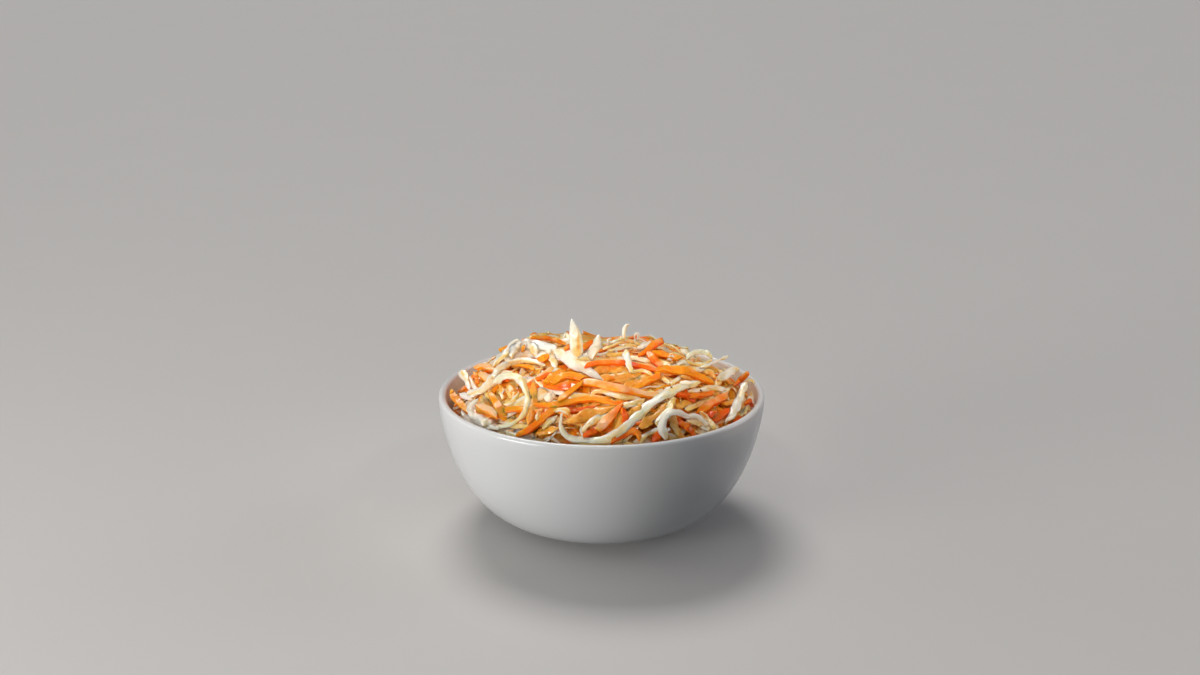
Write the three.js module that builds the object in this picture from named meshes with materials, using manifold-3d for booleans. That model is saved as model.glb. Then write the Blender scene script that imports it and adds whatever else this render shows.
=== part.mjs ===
// A round white bowl heaped with coleslaw: long shreds of cabbage and sticks of carrot over a packed
// heap. Units are millimetres, +Z is up, and the origin is the centre of the foot ring's resting face.
// -Y is the front.
import * as THREE from "three";
import { mergeVertices } from "three/addons/utils/BufferGeometryUtils.js";
import Module from "manifold-3d";

const wasm = await Module();
wasm.setup();

// ---- driving dimensions -------------------------------------------------------------------------
const RIM_RADIUS = 70;
const BOWL_HEIGHT = 57;
const LIP_THICKNESS = 3;
const FOOT_RADIUS = 27; // outside of the foot ring
const FOOT_WIDTH = 3.5; // width of the ring's flat face
const FOOT_HEIGHT = 1.6; // how far the ring lifts the bowl's underside
const UNDERSIDE_RADIUS = 27.6; // where the bowl's curve starts, just outside the ring
const FLOOR_THICKNESS = 4;
const FLOOR_RADIUS = 26; // flat middle of the inside
const BOWL_CURVE = { flare: 1.53, fullness: 2.74 }; // powers of the wall's curve, see wallCurve
const BOWL_SIDES = 48; // sides of the turned bowl
const WALL_STEPS = { outside: 9, inside: 8, lip: 4 };

const HEAP_RADIUS = 65; // where the heap meets the wall
const HEAP_FORWARD = 2; // how far the heap's middle lies in front of the bowl's
const HEAP_CROWN = 15.5; // heap's middle above the rim
const HEAP_DIP = 9; // heap's edge below the rim
const SHOULDER = { x: -30, y: 20, rise: 6, spread: 13 }; // the clump at the back left
const COVER = 2.6; // depth of the loose shreds over the packed core
const CORE_SIDES = BOWL_SIDES / 2; // its corners face every second corner of the bowl
const CORE_RINGS = 7;
const BOWL_GAP = 0.6; // free gap between food and bowl
const SHRED_REACH = 62.5; // how far from the bowl's axis a shred's middle line may lie
const BACK_REACH = 58; // the same right behind the heap, where a trough is left along the wall
const TROUGH_POWER = 8; // the higher, the shorter the trough

const CABBAGE = { width: 4.2, thickness: 1.5, steps: 6 };
const CARROT = { width: 3.0, thickness: 2.1, steps: 4 };

// Shreds that give the heap its shape. Each is an arc laid on the heap: the middle of the arc, the
// way it runs there (degrees from +X), its length, how much it turns (degrees, plus is to the left),
// its width, and its height over the heap's surface at start, middle and end.
const LAID_SHREDS = {
  wallSweep: [CABBAGE, -41, -5, -5, 38, -50, 4.2, [-1, 1.5, 0]],
  ring: [CABBAGE, -31, -28, -95, 46, -190, 3.6, [0, 2.2, -0.5]],
  leftCrescent: [CABBAGE, -51, -31, -60, 34, 60, 4.4, [-0.5, 0.8, -1]],
  leftCurl: [CABBAGE, -57, -6, 105, 24, 15, 4, [-1.5, 3, 8]],
  leftWallCarrot: [CARROT, -58, -12, -72, 24, 10, 3, [0, 1, -1]],
  leftBackCarrot: [CARROT, -49, 4, -60, 20, 0, 3.2, [0, 0.5, -1.5]],
  hillShred: [CABBAGE, -42, 12, 50, 24, -25, 3.6, [-1.5, 0.5, 0]],
  shoulderLoop: [CABBAGE, -32, 13, 10, 32, -240, 3.8, [-1, 2, -1]],
  crestCarrot: [CARROT, -25, 14, -15, 20, 10, 2.4, [0.5, 1.5, 0]],
  whiteRib: [CABBAGE, -14, -8, -50, 38, -15, 5.6, [0, 2, -1]],
  middleShred: [CABBAGE, -18, -34, -35, 40, 45, 3.6, [-1, 0.5, -1]],
  fanCarrot: [CARROT, -19, -23, 40, 20, -20, 3.4, [-1, 1, -1]],
  fanCarrotLow: [CARROT, -15, -30, 10, 22, 0, 3.4, [-1, 0.5, -1]],
  underCarrot: [CARROT, -21, -45, -145, 36, 10, 3, [0, 1, -1.5]],
  overCarrot: [CARROT, -9, -43, -5, 38, 10, 3, [1, 2.8, 0.5]],
  sweepHook: [CABBAGE, -11, -56, -45, 24, 100, 3.6, [-0.5, 0.8, 0.5]],
  sweepRun: [CABBAGE, 19, -43, 40, 62, 12, 4.6, [-0.5, 1.8, -0.5]],
  broadShred: [CABBAGE, 0, -48, 15, 34, 5, 5.4, [-1, 0, -1]],
  frontCarrot: [CARROT, 2, -52, 45, 20, 0, 3.8, [-0.5, 1, -0.5]],
  rightArch: [CABBAGE, 30, -45, 35, 36, -130, 4.4, [-1, 3, -1]],
  wideGreen: [CABBAGE, 24, -47, 55, 22, 0, 6.4, [-1, 0.5, -1]],
  rightWallShred: [CABBAGE, 58, -9, -112, 46, -10, 4, [5, 2.5, -1]],
  coatedCarrot: [CARROT, 46, -27, 60, 32, 10, 3.8, [-0.5, 1.5, -0.5]],
  bigCarrot: [CARROT, 35, -14, 5, 30, -30, 3.8, [0, 2, -0.5]],
  slantCarrot: [CARROT, 19, -28, 56, 20, 0, 3.4, [-1, 1, -1]],
  longCarrot: [CARROT, 6, -35, -12, 34, 0, 3.4, [-0.5, 1.2, -0.5]],
  ridgeCarrot: [CARROT, 7, -12, -5, 34, -30, 2.4, [0, 1.5, 0]],
  ridgeShred: [CABBAGE, 6, -3, -3, 36, -20, 3.4, [-1, 0.5, -1]],
  hangingShred: [CABBAGE, 11, -8, -80, 32, 25, 3, [-0.5, 2.8, -0.5]],
  crownShred: [CABBAGE, 7, 8, 48, 34, -20, 3.8, [-1, 1, -1]],
  crownCarrot: [CARROT, 21, 9, 62, 20, 0, 3.6, [-1.5, 1.5, 4]],
  crownCarrotLow: [CARROT, 27, -3, 15, 20, 0, 3.4, [-1, 1.2, -1]],
  backCurl: [CABBAGE, 42, 16, 20, 34, -150, 3.6, [-1, 2, -1]],
  backStick: [CABBAGE, 48, 5, 50, 28, 0, 2, [-1, 3, 7]],
  rightLump: [CABBAGE, 54, 0, 65, 24, 0, 4.8, [-1, 1.5, 4]],
};

// Shreds that stand up: foot of each on the plan, its height over the heap, how far its tip leans to
// +X, its width, and the share of that width left at the tip.
const STANDING_SHREDS = {
  tall: { x: -10, y: -6, height: 17.5, lean: -2.8, width: 3.9, tip: 0.35 },
  second: { x: -5, y: -7, height: 10, lean: 4, width: 4, tip: 0.45 },
  sprig: { x: 11, y: 20, height: 8, lean: -1, width: 1.8, tip: 0.8 },
  sprigLow: { x: 15, y: 18, height: 5, lean: 0.6, width: 1.5, tip: 0.8 },
};

// Filler shreds between the named ones, spread on a sunflower spiral. Each range is [least, most].
const FILLER = {
  count: 40,
  reach: 55, // middle of the outermost ones
  back: 14, // how far the innermost are moved back, to where fewer named shreds lie
  cabbageShare: 0.6,
  length: [28, 48],
  widthFactor: [0.85, 1.25],
  cabbageBend: [-86, 86], // degrees
  carrotBend: [-40, 40],
  wallShare: 0.75, // beyond this share of the reach they run round with the wall
  wallSwing: [-29, 29], // degrees off the way round
  wallBend: 46, // degrees added to follow the wall
  endLift: [-2.4, -1.2],
  middleLift: [-1.6, 0.4],
};
const SEED = 20;
const MERGE_DISTANCE = 1e-4;

const UP = new THREE.Vector3(0, 0, 1);
const FRONT = new THREE.Vector3(0, -1, 0);
const V2 = (x, y) => new THREE.Vector2(x, y);
const { degToRad } = THREE.MathUtils;

const lipZ = BOWL_HEIGHT - LIP_THICKNESS / 2;
const innerRimRadius = RIM_RADIUS - LIP_THICKNESS;
const floorZ = FOOT_HEIGHT + FLOOR_THICKNESS;

// ---- helpers ------------------------------------------------------------------------------------

/** A repeatable stream of numbers from 0 to 1. */
function randomStream(seed) {
  let state = seed;
  return () => {
    state = (state + 0x6d2b79f5) | 0;
    let t = Math.imul(state ^ (state >>> 15), 1 | state);
    t = (t + Math.imul(t ^ (t >>> 7), 61 | t)) ^ t;
    return ((t ^ (t >>> 14)) >>> 0) / 4294967296;
  };
}

/** A closed geometry as a manifold-3d solid. */
function solidOf(geometry) {
  geometry.deleteAttribute("normal");
  geometry.deleteAttribute("uv");
  const merged = mergeVertices(geometry, MERGE_DISTANCE);
  return new wasm.Manifold(
    new wasm.Mesh({
      numProp: 3,
      vertProperties: merged.attributes.position.array,
      triVerts: new Uint32Array(merged.index.array),
    }),
  );
}

/** A manifold-3d solid as a three.js geometry. */
function geometryOf(solid) {
  const mesh = solid.getMesh();
  const geometry = new THREE.BufferGeometry();
  geometry.setAttribute("position", new THREE.BufferAttribute(mesh.vertProperties, mesh.numProp));
  geometry.setIndex(new THREE.BufferAttribute(mesh.triVerts, 1));
  geometry.computeVertexNormals();
  return geometry;
}

/** The largest closed body of a solid: sealed hollows are filled and loose scraps dropped. */
function mainBody(solid) {
  return solid.decompose().reduce((a, b) => (b.volume() > a.volume() ? b : a));
}

// ---- bowl ---------------------------------------------------------------------------------------

/** The bowl's curve from a level disc up to the lip: quick to widen, then nearly upright. */
function wallCurve(startRadius, endRadius, lowZ, highZ, steps) {
  return Array.from({ length: steps + 1 }, (_, i) => {
    const t = (i / steps) ** 2;
    const widening = (1 - (1 - t) ** BOWL_CURVE.flare) ** (1 / BOWL_CURVE.fullness);
    return V2(startRadius + (endRadius - startRadius) * widening, lowZ + (highZ - lowZ) * t);
  });
}

/** Half a turn of the lip, from the outside over the top to the inside. */
function lipArc(centreRadius, radius, steps) {
  return Array.from({ length: steps - 1 }, (_, i) => {
    const angle = (Math.PI * (i + 1)) / steps;
    return V2(centreRadius + radius * Math.cos(angle), lipZ + radius * Math.sin(angle));
  });
}

/** The inside of the wall, moved inwards by a gap. */
const innerWall = (gap) =>
  wallCurve(FLOOR_RADIUS - gap, innerRimRadius - gap, floorZ + gap, lipZ + gap, WALL_STEPS.inside);

function bowlGeometry() {
  const profile = [
    V2(0, FOOT_HEIGHT),
    V2(FOOT_RADIUS - FOOT_WIDTH - FOOT_HEIGHT, FOOT_HEIGHT),
    V2(FOOT_RADIUS - FOOT_WIDTH, 0),
    V2(FOOT_RADIUS, 0),
    ...wallCurve(UNDERSIDE_RADIUS, RIM_RADIUS, FOOT_HEIGHT, lipZ, WALL_STEPS.outside),
    ...lipArc(RIM_RADIUS - LIP_THICKNESS / 2, LIP_THICKNESS / 2, WALL_STEPS.lip),
    ...innerWall(0).reverse(),
    V2(0, floorZ),
  ];
  return new THREE.LatheGeometry(profile, BOWL_SIDES).rotateX(Math.PI / 2);
}

// ---- heap ---------------------------------------------------------------------------------------

/** Height of the heap's outer surface over a point of the plan. */
function heapTop(x, y) {
  const share = Math.hypot(x, y + HEAP_FORWARD) / HEAP_RADIUS;
  const dome = HEAP_CROWN - (HEAP_CROWN + HEAP_DIP) * share ** 4;
  const fromShoulder = Math.hypot(x - SHOULDER.x, y - SHOULDER.y) / SHOULDER.spread;
  return BOWL_HEIGHT + dome + SHOULDER.rise * Math.exp(-(fromShoulder ** 2) / 2);
}

/** The packed core: it fills the bowl to just under the loose shreds. */
function coreSolid() {
  const lowestEdge = heapTop(0, HEAP_RADIUS) - COVER;
  const fullWall = innerWall(BOWL_GAP);
  const wall = fullWall.filter((point) => point.y < lowestEdge);
  const below = wall.at(-1);
  const above = fullWall[wall.length];
  const edgeRadius = below.clone().lerp(above, (lowestEdge - below.y) / (above.y - below.y)).x;
  const toBeRaised = 2 * BOWL_HEIGHT;
  const rings = Array.from({ length: CORE_RINGS }, (_, i) => {
    return V2(edgeRadius * (1 - i / CORE_RINGS), toBeRaised);
  });
  const profile = [V2(0, floorZ + BOWL_GAP), ...wall, ...rings, V2(0, toBeRaised)];
  const geometry = new THREE.LatheGeometry(profile, CORE_SIDES).rotateX(Math.PI / 2);
  const position = geometry.attributes.position;
  for (let i = 0; i < position.count; i++) {
    if (position.getZ(i) > BOWL_HEIGHT) {
      position.setZ(i, heapTop(position.getX(i), position.getY(i)) - COVER);
    }
  }
  return solidOf(geometry);
}

/** A straight bar bent onto a curve, its flat side towards `facing`, with tapered ends. */
function shredSolid(kind, path, width, facing = UP, size = endTaper) {
  const bar = new THREE.BoxGeometry(1, width, kind.thickness, kind.steps, 1, 1);
  const position = bar.attributes.position;
  for (let i = 0; i < position.count; i++) {
    const u = position.getX(i) + 0.5;
    const centre = path.getPointAt(u);
    const along = path.getTangentAt(u);
    const side = new THREE.Vector3().crossVectors(facing, along).normalize();
    const normal = new THREE.Vector3().crossVectors(along, side);
    centre.addScaledVector(side, position.getY(i) * size(u));
    centre.addScaledVector(normal, position.getZ(i) * size(u));
    position.setXYZ(i, centre.x, centre.y, centre.z);
  }
  return solidOf(bar);
}

/** Share of a shred's section at u along it: whole in the middle, half at both cut ends. */
function endTaper(u) {
  return 0.5 + 0.5 * Math.min(1, 5 * Math.min(u, 1 - u));
}

/** A point on the heap, brought in where it would reach the bowl's wall or the trough at the back. */
function pointOnHeap(x, y, lift) {
  const radius = Math.hypot(x, y);
  const backness = Math.max(0, y / radius) ** TROUGH_POWER;
  const reach = SHRED_REACH - (SHRED_REACH - BACK_REACH) * backness;
  const inward = Math.min(1, reach / radius);
  return new THREE.Vector3(x * inward, y * inward, heapTop(x * inward, y * inward) + lift);
}

/** An arc laid on the heap by its middle, direction, length, bend and lifts. Angles in degrees. */
function laidArc(x, y, heading, length, bend, [startLift, middleLift, endLift]) {
  const stations = [-1, -0.6, -0.2, 0.2, 0.6, 1];
  const points = stations.map((s) => {
    const turn = degToRad(bend * s) / 4; // from the arc's direction to its chord, a quarter of the bend
    const chord = (length / 2) * s * (turn === 0 ? 1 : Math.sin(turn) / turn);
    const towards = degToRad(heading) + turn;
    const lift = middleLift + ((s < 0 ? startLift : endLift) - middleLift) * s * s;
    return pointOnHeap(x + chord * Math.cos(towards), y + chord * Math.sin(towards), lift);
  });
  return new THREE.CatmullRomCurve3(points);
}

/** The named shreds that lie on the heap. */
function laidShreds() {
  return Object.values(LAID_SHREDS).map(([kind, x, y, heading, length, bend, width, lifts]) => {
    return shredSolid(kind, laidArc(x, y, heading, length, bend, lifts), width);
  });
}

/** The named shreds that stand up out of it. */
function standingShreds() {
  return Object.values(STANDING_SHREDS).map(({ x, y, height, lean, width, tip }) => {
    const foot = heapTop(x, y) - 2 * COVER;
    const head = heapTop(x, y) + height;
    const path = new THREE.CatmullRomCurve3([
      new THREE.Vector3(x, y, foot),
      new THREE.Vector3(x + 0.35 * lean, y, (foot + head) / 2),
      new THREE.Vector3(x + lean, y, head),
    ]);
    return shredSolid(CABBAGE, path, width, FRONT, (u) => 1 - (1 - tip) * u * u);
  });
}

/** The filler shreds. */
function fillerShreds() {
  const random = randomStream(SEED);
  const between = ([least, most]) => least + (most - least) * random();
  const goldenAngle = Math.PI * (3 - Math.sqrt(5));
  return Array.from({ length: FILLER.count }, (_, i) => {
    const share = Math.sqrt((i + 0.5) / FILLER.count);
    const angle = i * goldenAngle;
    const x = FILLER.reach * share * Math.cos(angle);
    const y = FILLER.reach * share * Math.sin(angle) + FILLER.back * (1 - share ** 2);
    const kind = random() < FILLER.cabbageShare ? CABBAGE : CARROT;
    const nearWall = share > FILLER.wallShare;
    const wayRound = THREE.MathUtils.radToDeg(angle) + 90;
    const heading = nearWall ? wayRound + between(FILLER.wallSwing) : between([0, 180]);
    const ownBend = between(kind === CABBAGE ? FILLER.cabbageBend : FILLER.carrotBend);
    const bend = ownBend + (nearWall ? FILLER.wallBend : 0);
    const lifts = [between(FILLER.endLift), between(FILLER.middleLift), between(FILLER.endLift)];
    const path = laidArc(x, y, heading, between(FILLER.length), bend, lifts);
    return shredSolid(kind, path, kind.width * between(FILLER.widthFactor));
  });
}

function heapGeometry() {
  const shreds = [...laidShreds(), ...standingShreds(), ...fillerShreds()];
  return geometryOf(mainBody(wasm.Manifold.union([coreSolid(), ...shreds])));
}

// ---- assembly -----------------------------------------------------------------------------------

const bowl = new THREE.Mesh(
  bowlGeometry(),
  new THREE.MeshStandardMaterial({ color: 0xe4e5e8, roughness: 0.25, metalness: 0 }),
);
bowl.name = "bowl";

const coleslaw = new THREE.Mesh(
  heapGeometry(),
  new THREE.MeshStandardMaterial({ color: 0xe9d9b0, roughness: 0.4, metalness: 0 }),
);
coleslaw.name = "coleslaw";

const group = new THREE.Group();
group.add(bowl, coleslaw);
export default group;
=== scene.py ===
"""A round white glazed bowl heaped with shredded cabbage and carrot in a creamy dressing.

Sizes are in millimetres unless a name says otherwise, and meshes are made in metres. +Z is up, -Y is the
front, and the origin is the middle of the foot ring's resting face.
"""
import logging
import math
from dataclasses import dataclass, field
from enum import Enum

import bmesh
import bpy
import numpy as np
from mathutils import Matrix, Vector


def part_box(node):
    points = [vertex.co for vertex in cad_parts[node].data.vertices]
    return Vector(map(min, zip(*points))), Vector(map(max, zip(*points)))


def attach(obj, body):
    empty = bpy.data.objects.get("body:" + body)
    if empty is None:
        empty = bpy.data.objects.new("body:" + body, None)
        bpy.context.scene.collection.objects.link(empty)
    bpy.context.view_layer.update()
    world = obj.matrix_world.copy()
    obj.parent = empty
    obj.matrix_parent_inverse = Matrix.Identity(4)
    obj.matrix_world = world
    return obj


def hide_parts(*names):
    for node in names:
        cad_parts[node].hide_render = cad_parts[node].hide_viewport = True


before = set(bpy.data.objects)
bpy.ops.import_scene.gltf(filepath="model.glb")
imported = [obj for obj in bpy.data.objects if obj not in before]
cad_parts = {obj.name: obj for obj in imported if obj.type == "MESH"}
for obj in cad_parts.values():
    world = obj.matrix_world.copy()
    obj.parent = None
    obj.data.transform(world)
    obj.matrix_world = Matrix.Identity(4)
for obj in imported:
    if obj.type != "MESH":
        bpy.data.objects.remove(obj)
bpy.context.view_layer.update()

METRES = 0.001
TINY = 1e-6
LEAST_LENGTH = 1e-9
Array = np.ndarray
Rng = np.random.Generator
Socket = bpy.types.NodeSocket
Pixel = tuple[float, float]
Pair = tuple[float, float]
Triple = tuple[float, float, float]
Colour = tuple[float, float, float]
SOFT_WHITE = (1.0, 0.99, 0.97)
WARM_WHITE = (1.0, 0.83, 0.65)
LEFT_WARM = (1.0, 0.76, 0.62)
COOL_WHITE = (0.84, 0.84, 1.0)
log = logging.getLogger("coleslaw")


# ---- camera, light and floor --------------------


@dataclass(frozen=True)
class View:
    """The camera: how far it stands from the rim's middle, how high, and where it sees that middle."""

    frame_width: float = 1200.0
    frame_height: float = 675.0
    sensor: float = 36.0
    focal_pixels: float = 1622.0
    distance: float = 700.0
    elevation: float = math.radians(18.72)
    rim_pixel: Pixel = (601.7, 389.2)
    rim_height: float = 57.0
    clip_metres: Pair = (0.05, 20.0)

    @property
    def eye(self) -> Array:
        """Where the camera stands.

        Returns:
            The place.
        """
        aside = (self.rim_pixel[0] - self.frame_width / 2) / self.focal_pixels * self.distance
        back = self.distance * math.cos(self.elevation)
        up = self.distance * math.sin(self.elevation)
        return np.array([-aside, -back, self.rim_height + up])

    @property
    def pitch(self) -> float:
        """The angle below level at which the middle of the frame looks."""
        below = self.rim_pixel[1] - self.frame_height / 2
        return self.elevation - math.atan(below / self.focal_pixels)

    def rays(self, pixels: Array) -> Array:
        """Unit vectors from the eye through points of the frame.

        Args:
            pixels: An array of points, n by 2.

        Returns:
            The directions, n by 3.
        """
        ahead = np.array([0.0, math.cos(self.pitch), -math.sin(self.pitch)])
        up = np.array([0.0, math.sin(self.pitch), math.cos(self.pitch)])
        across = (pixels[:, 0] - self.frame_width / 2)[:, None] * np.array([1.0, 0.0, 0.0])
        upward = (self.frame_height / 2 - pixels[:, 1])[:, None] * up
        lines = self.focal_pixels * ahead + across + upward
        return lines / np.linalg.norm(lines, axis=1)[:, None]

    def size_of(self, pixels: Array) -> Array:
        """The real length of a stretch of pixels at the rim's distance."""
        return pixels * self.distance / self.focal_pixels

    def place(self) -> None:
        """Makes the camera and sets it as the scene's."""
        data = bpy.data.cameras.new("camera")
        data.sensor_width = self.sensor
        data.lens = self.focal_pixels / self.frame_width * self.sensor
        data.clip_start, data.clip_end = self.clip_metres
        camera = bpy.data.objects.new("camera", data)
        camera.location = Vector(self.eye * METRES)
        camera.rotation_euler = (math.pi / 2 - self.pitch, 0.0, 0.0)
        bpy.context.scene.collection.objects.link(camera)
        bpy.context.scene.camera = camera


@dataclass(frozen=True)
class Lamp:
    """A far, soft light.

    Attributes:
        name: The light's name.
        side: Degrees round from the camera's side, with the left below 0.
        rise: Degrees above the floor.
        spread: Degrees that it fills in the sky; more is softer.
        strength: Its strength.
        colour: Its colour.
    """

    name: str
    side: float
    rise: float
    spread: float
    strength: float
    colour: Colour = SOFT_WHITE

    @property
    def way(self) -> Vector:
        """The unit vector towards the light."""
        side, rise = math.radians(self.side), math.radians(self.rise)
        return Vector((math.sin(side) * math.cos(rise), -math.cos(side) * math.cos(rise), math.sin(rise)))

    def hang(self) -> None:
        """Makes the light."""
        data = bpy.data.lights.new(self.name, "SUN")
        data.angle = math.radians(self.spread)
        data.energy = self.strength
        self.link(data, self.way)

    def link(self, data: bpy.types.Light, place: Vector) -> None:
        """Puts the light in the scene, turned to shine along its way.

        Args:
            data: The light's own settings.
            place: Where it hangs, in metres.
        """
        data.color = self.colour
        lamp = bpy.data.objects.new(self.name, data)
        lamp.location = place
        lamp.rotation_euler = (-self.way).to_track_quat("-Z", "Y").to_euler()
        bpy.context.scene.collection.objects.link(lamp)


@dataclass(frozen=True)
class Panel(Lamp):
    """A lit panel that stands on the floor and faces the bowl.

    Attributes:
        distance: From the bowl, in millimetres.
        width: Its breadth, in millimetres. Its spread is left at 0.
        height: Its height, in millimetres.
        off_floor: The gap under it, in millimetres.
    """

    distance: float = 850.0
    width: float = 420.0
    height: float = 210.0
    off_floor: float = 2.0

    def hang(self) -> None:
        """Makes the light."""
        data = bpy.data.lights.new(self.name, "AREA")
        data.shape = "RECTANGLE"
        data.size = self.width * METRES
        data.size_y = self.height * METRES
        data.energy = self.strength * math.pi * (self.distance * METRES) ** 2
        place = self.way * self.distance + Vector((0.0, 0.0, self.height / 2 + self.off_floor))
        self.link(data, place * METRES)


@dataclass(frozen=True)
class Beam(Lamp):
    """A near lamp with a narrow, soft-edged beam that falls on the heap or on the bowl's wall.

    Attributes:
        distance: From the point at which it looks, in millimetres.
        aim: The point at which it looks.
        reach: Radius of the lit round, in millimetres.
        fade: The share of that radius over which the light fades.
        size: Radius of the lamp itself; more is softer. Its spread is left at 0.
    """

    distance: float = 420.0
    aim: Triple = (0.0, 5.0, 73.0)
    reach: float = 66.0
    fade: float = 0.5
    size: float = 40.0

    def hang(self) -> None:
        """Makes the light."""
        data = bpy.data.lights.new(self.name, "SPOT")
        data.spot_size = 2 * math.atan(self.reach / self.distance)
        data.spot_blend = self.fade
        data.shadow_soft_size = self.size * METRES
        data.energy = self.strength * 4 * math.pi * (self.distance * METRES) ** 2
        self.link(data, (self.way * self.distance + Vector(self.aim)) * METRES)


@dataclass(frozen=True)
class Studio:
    """A pale floor under soft light from the left and above, with beams on the heap and the wall."""

    floor_size: float = 16000.0
    floor_colour: Colour = (0.70, 0.675, 0.65)
    floor_roughness: float = 0.7
    mottle_scale: float = 9.0
    mottle_shade: float = 0.98
    sky_colour: Colour = (0.90, 0.94, 1.0)
    sky_strength: float = 0.115
    lamps: tuple[Lamp, ...] = (
        Panel("panel_left", -56.5, 0.0, 0.0, 2.0),
        Lamp("edge_left", -104.0, 12.0, 20.0, 0.15),
        Beam("front_beam", -18.0, 43.0, 0.0, 0.66, aim=(0.0, 0.0, 79.0), reach=60.0, size=34.0),
        Beam("fill_right", 14.0, 30.0, 0.0, 1.4, WARM_WHITE,
             aim=(44.0, -16.0, 74.0), reach=34.0, size=12.0),
        Beam("fill_front", 0.0, 32.0, 0.0, 1.45, WARM_WHITE,
             aim=(-2.0, -32.0, 75.0), reach=32.0, size=12.0),
        Beam("fill_left", -8.0, 30.0, 0.0, 0.85, WARM_WHITE,
             aim=(-42.0, -20.0, 76.0), reach=32.0, size=12.0),
        Beam("left_wall_beam", 62.0, 58.0, 0.0, 0.4, LEFT_WARM,
             aim=(-61.0, -9.0, 50.0), reach=15.0, size=8.0),
        Beam("right_beam", 48.0, 46.0, 0.0, 0.35),
        Lamp("top_back", -165.0, 56.0, 26.0, 1.25),
        Lamp("overhead", -60.0, 84.0, 60.0, 0.35),
        Lamp("rim_right", 112.0, 20.0, 30.0, 0.36, COOL_WHITE),
    )

    def build(self) -> None:
        """Makes the floor, the sky and the lamps."""
        self.lay_floor()
        world = bpy.data.worlds.new("sky")
        world.use_nodes = True
        sky = world.node_tree.nodes["Background"]
        sky.inputs["Color"].default_value = (*self.sky_colour, 1.0)
        sky.inputs["Strength"].default_value = self.sky_strength
        bpy.context.scene.world = world
        for lamp in self.lamps:
            lamp.hang()

    def lay_floor(self) -> None:
        """Makes the floor, which throws no soft light back at the bowl."""
        mesh = bpy.data.meshes.new("floor")
        sheet = bmesh.new()
        bmesh.ops.create_grid(sheet, x_segments=1, y_segments=1, size=self.floor_size / 2 * METRES)
        sheet.to_mesh(mesh)
        sheet.free()
        floor = bpy.data.objects.new("floor", mesh)
        floor.visible_diffuse = False
        bpy.context.scene.collection.objects.link(floor)
        tree = Tree("floor_paint")
        tree.set(Roughness=self.floor_roughness)
        spots = tree.noise(tree.object_place(), self.mottle_scale)
        shaded = tuple(c * self.mottle_shade for c in self.floor_colour)
        paint = tree.blend(spots, self.floor_colour, shaded)
        tree.join(paint, "Base Color")
        mesh.materials.append(tree.material)


# ---- materials --------------------


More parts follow.
